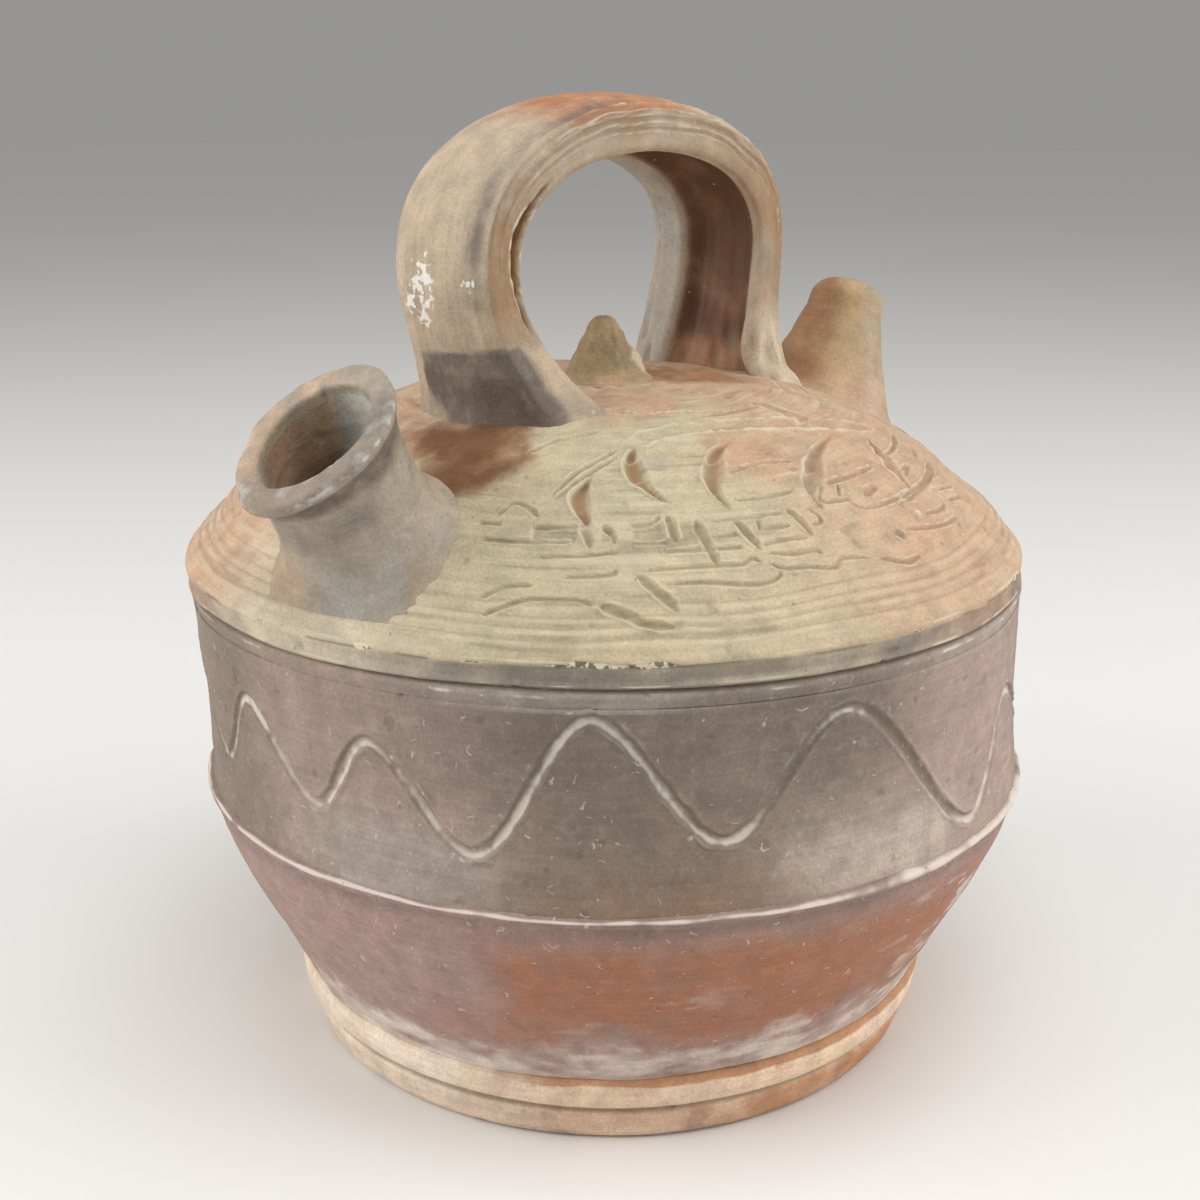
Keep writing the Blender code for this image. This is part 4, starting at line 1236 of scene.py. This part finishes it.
def stain_outside(clay, axis, row, first_rim):
    """The filling spout's neck and skirt: smoked above, ashy, rosy and dusty below."""
    rightward = to_the_right(clay, axis)
    blotchy = clay.rough(7, 706)
    outside = 1.0 - smooth(row, first_rim - 4, first_rim)
    low = smooth(row, 26, 12)
    edge = smooth(row, 7, 2) * smooth(clay.rough(4, 709), -0.3, 0.4)
    clay.mark(
        ash=outside * low * (0.6 + 0.4 * blotchy) * around(rightward, 0, 6, 16),
        smoke_and_shade=outside * (0.3 + 0.3 * blotchy) * (1.0 - low),
        dust_and_sheen=outside * low * smooth(rightward, 8, 19) * (0.12 + 0.4 * blotchy),
        rose=outside * low * smooth(rightward, -8, -16) * 0.5,
        rust=0.36 * outside * smooth(rightward, 4, 14) * (0.8 + 0.4 * blotchy),
    )
    clay.mark(dust_and_sheen=0.8 * edge * smooth(rightward, -10, 4))


def make_drinking_spout(material):
    axis = Axis(POUR)
    tip_at = POUR["length"] - POUR_TIP_ROUND
    lean = POUR["lean"]
    rows = axis.skirt(POUR, POUR_RADII)
    for share in np.linspace(0.0, 1.0, 6, endpoint=False):
        radius = between(POUR_RADII["neck"], POUR_RADII["lip"], smooth(share))
        rows.append(axis.ring(between(POUR["neck_at"], tip_at, share), radius, lean))
    for bend in np.linspace(0.0, math.pi / 2, 16):
        radius = between(POUR_RADII["mouth"], POUR_RADII["lip"], math.cos(bend))
        rows.append(axis.ring(tip_at + POUR_TIP_ROUND * math.sin(bend), radius, lean))
    for share in np.linspace(0.05, 1.0, 14):
        radius = between(POUR_RADII["mouth"], POUR_RADII["bore"], smooth(share, 0.2, 1))
        rows.append(axis.ring(between(POUR["length"], 0.0, share), radius, lean))
    rows.append(axis.ring(-1.5 * WALL, POUR_RADII["bore"], lean))
    clay = spout_clay(axis, rows, 800)
    rightward = to_the_right(clay, axis)
    blotchy = clay.rough(9, 806)
    middle = 6.0 * smooth(clay.height, 165, 185)
    clear = smooth(np.arange(len(rows))[:, None], 1.0, 13.0)
    clay.mark(
        ember_and_shade=clear * smooth(rightward - middle, 4, -6) * (0.85 + 0.3 * blotchy),
        ash=0.4 * smooth(rightward, 9, 13),
        rose=0.75 * smooth(clay.height, 178, 160) * smooth(rightward, -6, 4),
        dust_and_sheen=0.5 * (1.0 - clear),
        smoke_and_shade=0.3 * clear * smooth(blotchy, 0, 0.8),
    )
    clay.mark(rose=0.9 * (1.0 - clear))
    add_piece("jug_drinking_spout", "drinking_spout", material, clay.grid(), clay.marks, loop=True)


# Places of the colour sockets on a Mix node
MIX_FIRST, MIX_SECOND, MIX_RESULT = 6, 7, 2
GRAIN_HEIGHT = 0.2 * MM


class Shader:
    """Builds one clay material out of nodes."""

    def __init__(self, slot):
        self.material = bpy.data.materials.new("fired " + slot)
        self.material["slot"] = slot
        self.material.use_nodes = True
        self.tree = self.material.node_tree
        self.surface = self.tree.nodes["Principled BSDF"]
        self.place = self.add("TexCoord").outputs["Object"]

    def add(self, kind, inputs=None, **settings):
        node = self.tree.nodes.new("ShaderNode" + kind)
        for key, value in settings.items():
            setattr(node, key, value)
        for key, value in (inputs or {}).items():
            self.feed(node.inputs[key], value)
        return node

    def feed(self, socket, value):
        if isinstance(value, bpy.types.NodeSocket):
            self.tree.links.new(value, socket)
        else:
            socket.default_value = value

    def noise(self, size, detail=3.0, place=None):
        """Noise with features about size millimetres across."""
        inputs = {"Vector": place or self.place, "Scale": 1.0 / (size * MM), "Detail": detail}
        return self.add("TexNoise", inputs).outputs[0]

    def mark(self, name):
        return self.add("Attribute", attribute_name=name).outputs["Fac"]

    def ramp(self, value, low, high, start=0.0, end=1.0):
        inputs = {"Value": value, "From Min": low, "From Max": high, "To Min": start, "To Max": end}
        return self.add("MapRange", inputs, interpolation_type="SMOOTHSTEP").outputs[0]

    def math(self, operation, first, second):
        return self.add("Math", {0: first, 1: second}, operation=operation).outputs[0]

    def times(self, first, second):
        return self.math("MULTIPLY", first, second)

    def mix(self, share, first, second):
        def colour(value):
            return value if isinstance(value, bpy.types.NodeSocket) else (*value, 1.0)

        inputs = {0: share, MIX_FIRST: colour(first), MIX_SECOND: colour(second)}
        return self.add("Mix", inputs, data_type="RGBA").outputs[MIX_RESULT]

    def streaks(self, size):
        """Noise drawn out along the wheel lines, or along the strap."""
        wide = self.add("VectorMath", {0: self.place, 1: (0.05, 0.05, 0.0)}, operation="MULTIPLY").outputs[0]
        lap = self.add("CombineXYZ", {"Z": self.mark("lap")}).outputs[0]
        place = self.add("VectorMath", {0: wide, 1: lap}, operation="ADD").outputs[0]
        return self.noise(size, 3.0, place)

    def ticks(self, size, width):
        """Short thin curved strokes."""
        inputs = {"Vector": self.place, "Scale": 1.0 / (size * MM), "Detail": 0.0, "Distortion": 0.4}
        wander = self.math("SUBTRACT", self.add("TexNoise", inputs).outputs[0], 0.5)
        line = self.ramp(self.math("ABSOLUTE", wander, 0.0), width, 0.0)
        return self.times(line, self.ramp(self.noise(0.7 * size, 1.0), 0.64, 0.68))

    def specks(self, spacing, size):
        """Sparse round specks: 1 inside a speck, 0 outside."""
        cells = self.add("TexVoronoi", {"Vector": self.place, "Scale": 1.0 / (spacing * MM)})
        reach = self.times(cells.outputs["Color"], size / spacing)
        return self.math("LESS_THAN", cells.outputs["Distance"], reach)


def clay_material(
    slot, base, second, roughness, rose=ROSE, ember_and_shade=EMBER_AND_SHADE, ash=ASH, pale=DUST, film=0.15, ticks=0.0
):
    """Smoked earthenware: mottled clay, stains, painted shade and highlights, and burrs from the mesh's
    marks, grain and specks.
    """
    shader = Shader(slot)
    colour = shader.mix(shader.ramp(shader.noise(38.0), 0.38, 0.62), base, second)
    patchy = shader.ramp(shader.noise(11.0, 6.0), 0.3, 0.68, 0.72, 1.12)
    tints = dict(rose=rose, smoke_and_shade=SMOKE_AND_SHADE, ember_and_shade=ember_and_shade, char_and_shade=CHAR_AND_SHADE, ash=ash, dust_and_sheen=pale)
    for mark in Clay.TINT_MARKS:
        amount = shader.times(shader.mark(mark), patchy)
        amount = shader.ramp(amount, 0.02, 1.0, 0.0, 0.92)
        colour = shader.mix(amount, colour, tints[mark])
    streak = shader.ramp(shader.streaks(1.1), 0.25, 0.75, 0.94, 1.06)
    grain = shader.ramp(shader.noise(0.7, 4.0), 0.25, 0.75, 0.88, 1.1)
    blotch = shader.ramp(shader.noise(6.0, 4.0), 0.25, 0.75, 0.86, 1.12)
    tone = shader.times(shader.times(streak, grain), blotch)
    toned = shader.add("VectorMath", {0: colour, "Scale": tone}, operation="SCALE").outputs[0]
    # Painted shade from the groove mark
    groove = shader.ramp(shader.mark("groove"), 0.15, 0.95, 0.0, 0.72)
    colour = shader.mix(groove, toned, SHADE)
    colour = shader.mix(shader.ramp(shader.mark("rust"), 0.1, 0.9, 0.0, 0.9), colour, RUST)
    # Pale crests and burrs, partly a painted highlight; on the wave and the filling spout's lip a painted
    # highlight
    crest = shader.times(shader.mark("crest"), patchy)
    colour = shader.mix(shader.ramp(crest, 0.08, 0.8, 0.0, 0.94), colour, pale)
    broken = shader.mix(shader.ramp(shader.noise(2.0, 4.0), 0.47, 0.53), SHADE, CREAM)
    colour = shader.mix(shader.ramp(shader.mark("chip"), 0.2, 0.7, 0.0, 0.9), colour, broken)
    # Stains and painted shade keep the dusting and scratches off
    burnt_and_shaded = shader.math("MAXIMUM", shader.mark("char_and_shade"), shader.times(shader.mark("ember_and_shade"), 0.75))
    clean = shader.math("SUBTRACT", 1.0, burnt_and_shaded)
    dusting = shader.ramp(shader.noise(2.6, 6.0), 0.5, 0.75, 0.0, film)
    colour = shader.mix(shader.times(dusting, clean), colour, pale)
    if ticks:
        colour = shader.mix(shader.times(shader.ticks(4.0, 0.03), ticks), colour, pale)
    scratch = shader.ramp(shader.streaks(0.35), 0.64, 0.74, 0.0, 1.4 * film)
    scratch = shader.times(scratch, shader.ramp(shader.noise(12.0), 0.45, 0.6))
    colour = shader.mix(shader.times(scratch, clean), colour, pale)
    colour = shader.mix(shader.times(shader.specks(8.0, 0.6), 0.5), colour, pale)
    colour = shader.mix(shader.times(shader.specks(5.0, 0.45), 0.5), colour, SHADE)
    splash = shader.times(shader.mark("lime"), shader.ramp(shader.noise(2.2, 5.0), 0.46, 0.58))
    lime = shader.ramp(splash, 0.2, 0.45, 0.0, 0.9)
    colour = shader.mix(lime, colour, LIME)
    shader.feed(shader.surface.inputs["Base Color"], colour)
    rough_noise = shader.ramp(shader.noise(6.0, 4.0), 0.3, 0.7, roughness - 0.1, roughness + 0.08)
    shader.feed(shader.surface.inputs["Roughness"], rough_noise)
    height = shader.math("ADD", shader.noise(0.8, 4.0), shader.times(shader.streaks(0.8), 0.5))
    bump = shader.add("Bump", {"Strength": 0.8, "Distance": GRAIN_HEIGHT, "Height": height})
    shader.feed(shader.surface.inputs["Normal"], bump.outputs[0])
    return shader.material


# Stage, in metres and degrees. The camera was fitted to the photo.
FLOOR_COLOUR = (0.8, 0.79, 0.77, 1.0)
FLOOR_ROUGHNESS = 0.9
FLOOR_REACH = 6.0
WORLD_COLOUR = (1.0, 0.99, 0.97, 1.0)
WORLD_LIGHT = 0.38
LENS = 51.0
CAMERA_TURN = -50.0
CAMERA_TILT = 16.92
CAMERA_PLACE = (-0.3424, -0.2840, 0.2489)
# Lamps as the camera sees them: (name, to the right, away, height, size, power), all aimed at one point
LAMPS = (
    ("left softbox", -1.1, -0.25, 0.65, 0.9, 9.0),
    ("right softbox", 1.1, -0.2, 0.65, 0.9, 9.0),
    ("top softbox", 0.1, -0.4, 1.6, 1.0, 11.0),
)
LAMP_AIM = Vector((0.0, 0.0, 0.1))


def make_floor():
    material = bpy.data.materials.new("pale_floor")
    material.use_nodes = True
    surface = material.node_tree.nodes["Principled BSDF"]
    surface.inputs["Base Color"].default_value = FLOOR_COLOUR
    surface.inputs["Roughness"].default_value = FLOOR_ROUGHNESS
    mesh = bpy.data.meshes.new("floor")
    corners = [(-1, -1), (1, -1), (1, 1), (-1, 1)]
    mesh.from_pydata([(x * FLOOR_REACH, y * FLOOR_REACH, 0.0) for x, y in corners], [], [(0, 1, 2, 3)])
    mesh.materials.append(material)
    floor = bpy.data.objects.new("floor", mesh)
    bpy.context.scene.collection.objects.link(floor)


def make_world():
    """Even daylight, dimmed by the floor's own colour where the camera sees it."""
    world = bpy.data.worlds.new("studio")
    world.use_nodes = True
    nodes, links = world.node_tree.nodes, world.node_tree.links
    nodes["Background"].inputs["Color"].default_value = WORLD_COLOUR
    seen = nodes.new("ShaderNodeMapRange")
    seen.inputs["To Min"].default_value = WORLD_LIGHT
    seen.inputs["To Max"].default_value = WORLD_LIGHT * FLOOR_COLOUR[0]
    rays = nodes.new("ShaderNodeLightPath")
    links.new(rays.outputs["Is Camera Ray"], seen.inputs["Value"])
    links.new(seen.outputs[0], nodes["Background"].inputs["Strength"])
    bpy.context.scene.world = world


def make_lamps():
    turn = math.radians(CAMERA_TURN)
    right = Vector((math.cos(turn), math.sin(turn), 0.0))
    forward = Vector((-math.sin(turn), math.cos(turn), 0.0))
    for name, sideways, depth, height, size, power in LAMPS:
        lamp = bpy.data.lights.new(name, "AREA")
        lamp.size = size
        lamp.energy = power
        item = bpy.data.objects.new(name, lamp)
        item.location = right * sideways + forward * depth + Vector((0.0, 0.0, height))
        item.rotation_euler = (LAMP_AIM - item.location).to_track_quat("-Z", "Y").to_euler()
        bpy.context.scene.collection.objects.link(item)


def make_camera():
    camera = bpy.data.objects.new("camera", bpy.data.cameras.new("camera"))
    camera.data.lens = LENS
    camera.location = CAMERA_PLACE
    camera.rotation_euler = (math.radians(90.0 - CAMERA_TILT), 0.0, math.radians(CAMERA_TURN))
    bpy.context.scene.collection.objects.link(camera)
    bpy.context.scene.camera = camera
    bpy.context.scene.view_settings.view_transform = "Standard"


# Who makes each piece, and its clay: slot, two main colours, roughness and tints of its own
PIECES = (
    (
        make_foot, "pale_foot_clay", (0.80, 0.60, 0.42), (0.76, 0.58, 0.43), 0.82,
        dict(rose=(0.64, 0.38, 0.27), ember_and_shade=(0.50, 0.24, 0.11), pale=(0.84, 0.73, 0.59)),
    ),
    (
        make_belly, "belly_clay", (0.345, 0.215, 0.18), (0.33, 0.205, 0.165), 0.72,
        dict(
            rose=(0.40, 0.265, 0.23), ember_and_shade=(0.37, 0.145, 0.07), pale=(0.70, 0.61, 0.53), film=0.13, ticks=0.6
        ),
    ),
    (
        make_drum, "drum_clay", (0.225, 0.168, 0.126), (0.26, 0.2, 0.152), 0.72,
        dict(rose=(0.40, 0.285, 0.235), pale=(0.66, 0.60, 0.51), film=0.1, ticks=0.6),
    ),
    (
        make_dome, "dusty_dome_clay", KHAKI, (0.52, 0.43, 0.285), 0.85,
        dict(ember_and_shade=(0.28, 0.118, 0.038)),
    ),
    (make_knob, "knob_clay", (0.32, 0.23, 0.115), (0.36, 0.26, 0.135), 0.85, {}),
    (
        make_handle, "strap_clay", (0.50, 0.39, 0.275), (0.46, 0.36, 0.255), 0.75,
        # The strap's rose tint is a painted reflection of red light on its crown
        dict(rose=(0.44, 0.17, 0.07)),
    ),
    (
        make_filling_spout, "filling_spout_clay", (0.345, 0.29, 0.225), (0.33, 0.275, 0.19), 0.6,
        dict(ash=(0.33, 0.33, 0.30), pale=(0.60, 0.56, 0.48)),
    ),
    (make_drinking_spout, "drinking_spout_clay", (0.42, 0.28, 0.14), (0.40, 0.29, 0.16), 0.75, {}),
)


def make_jug():
    for make, slot, base, second, roughness, tints in PIECES:
        make(clay_material(slot, base, second, roughness, **tints))


make_jug()
make_floor()
make_world()
make_lamps()
make_camera()
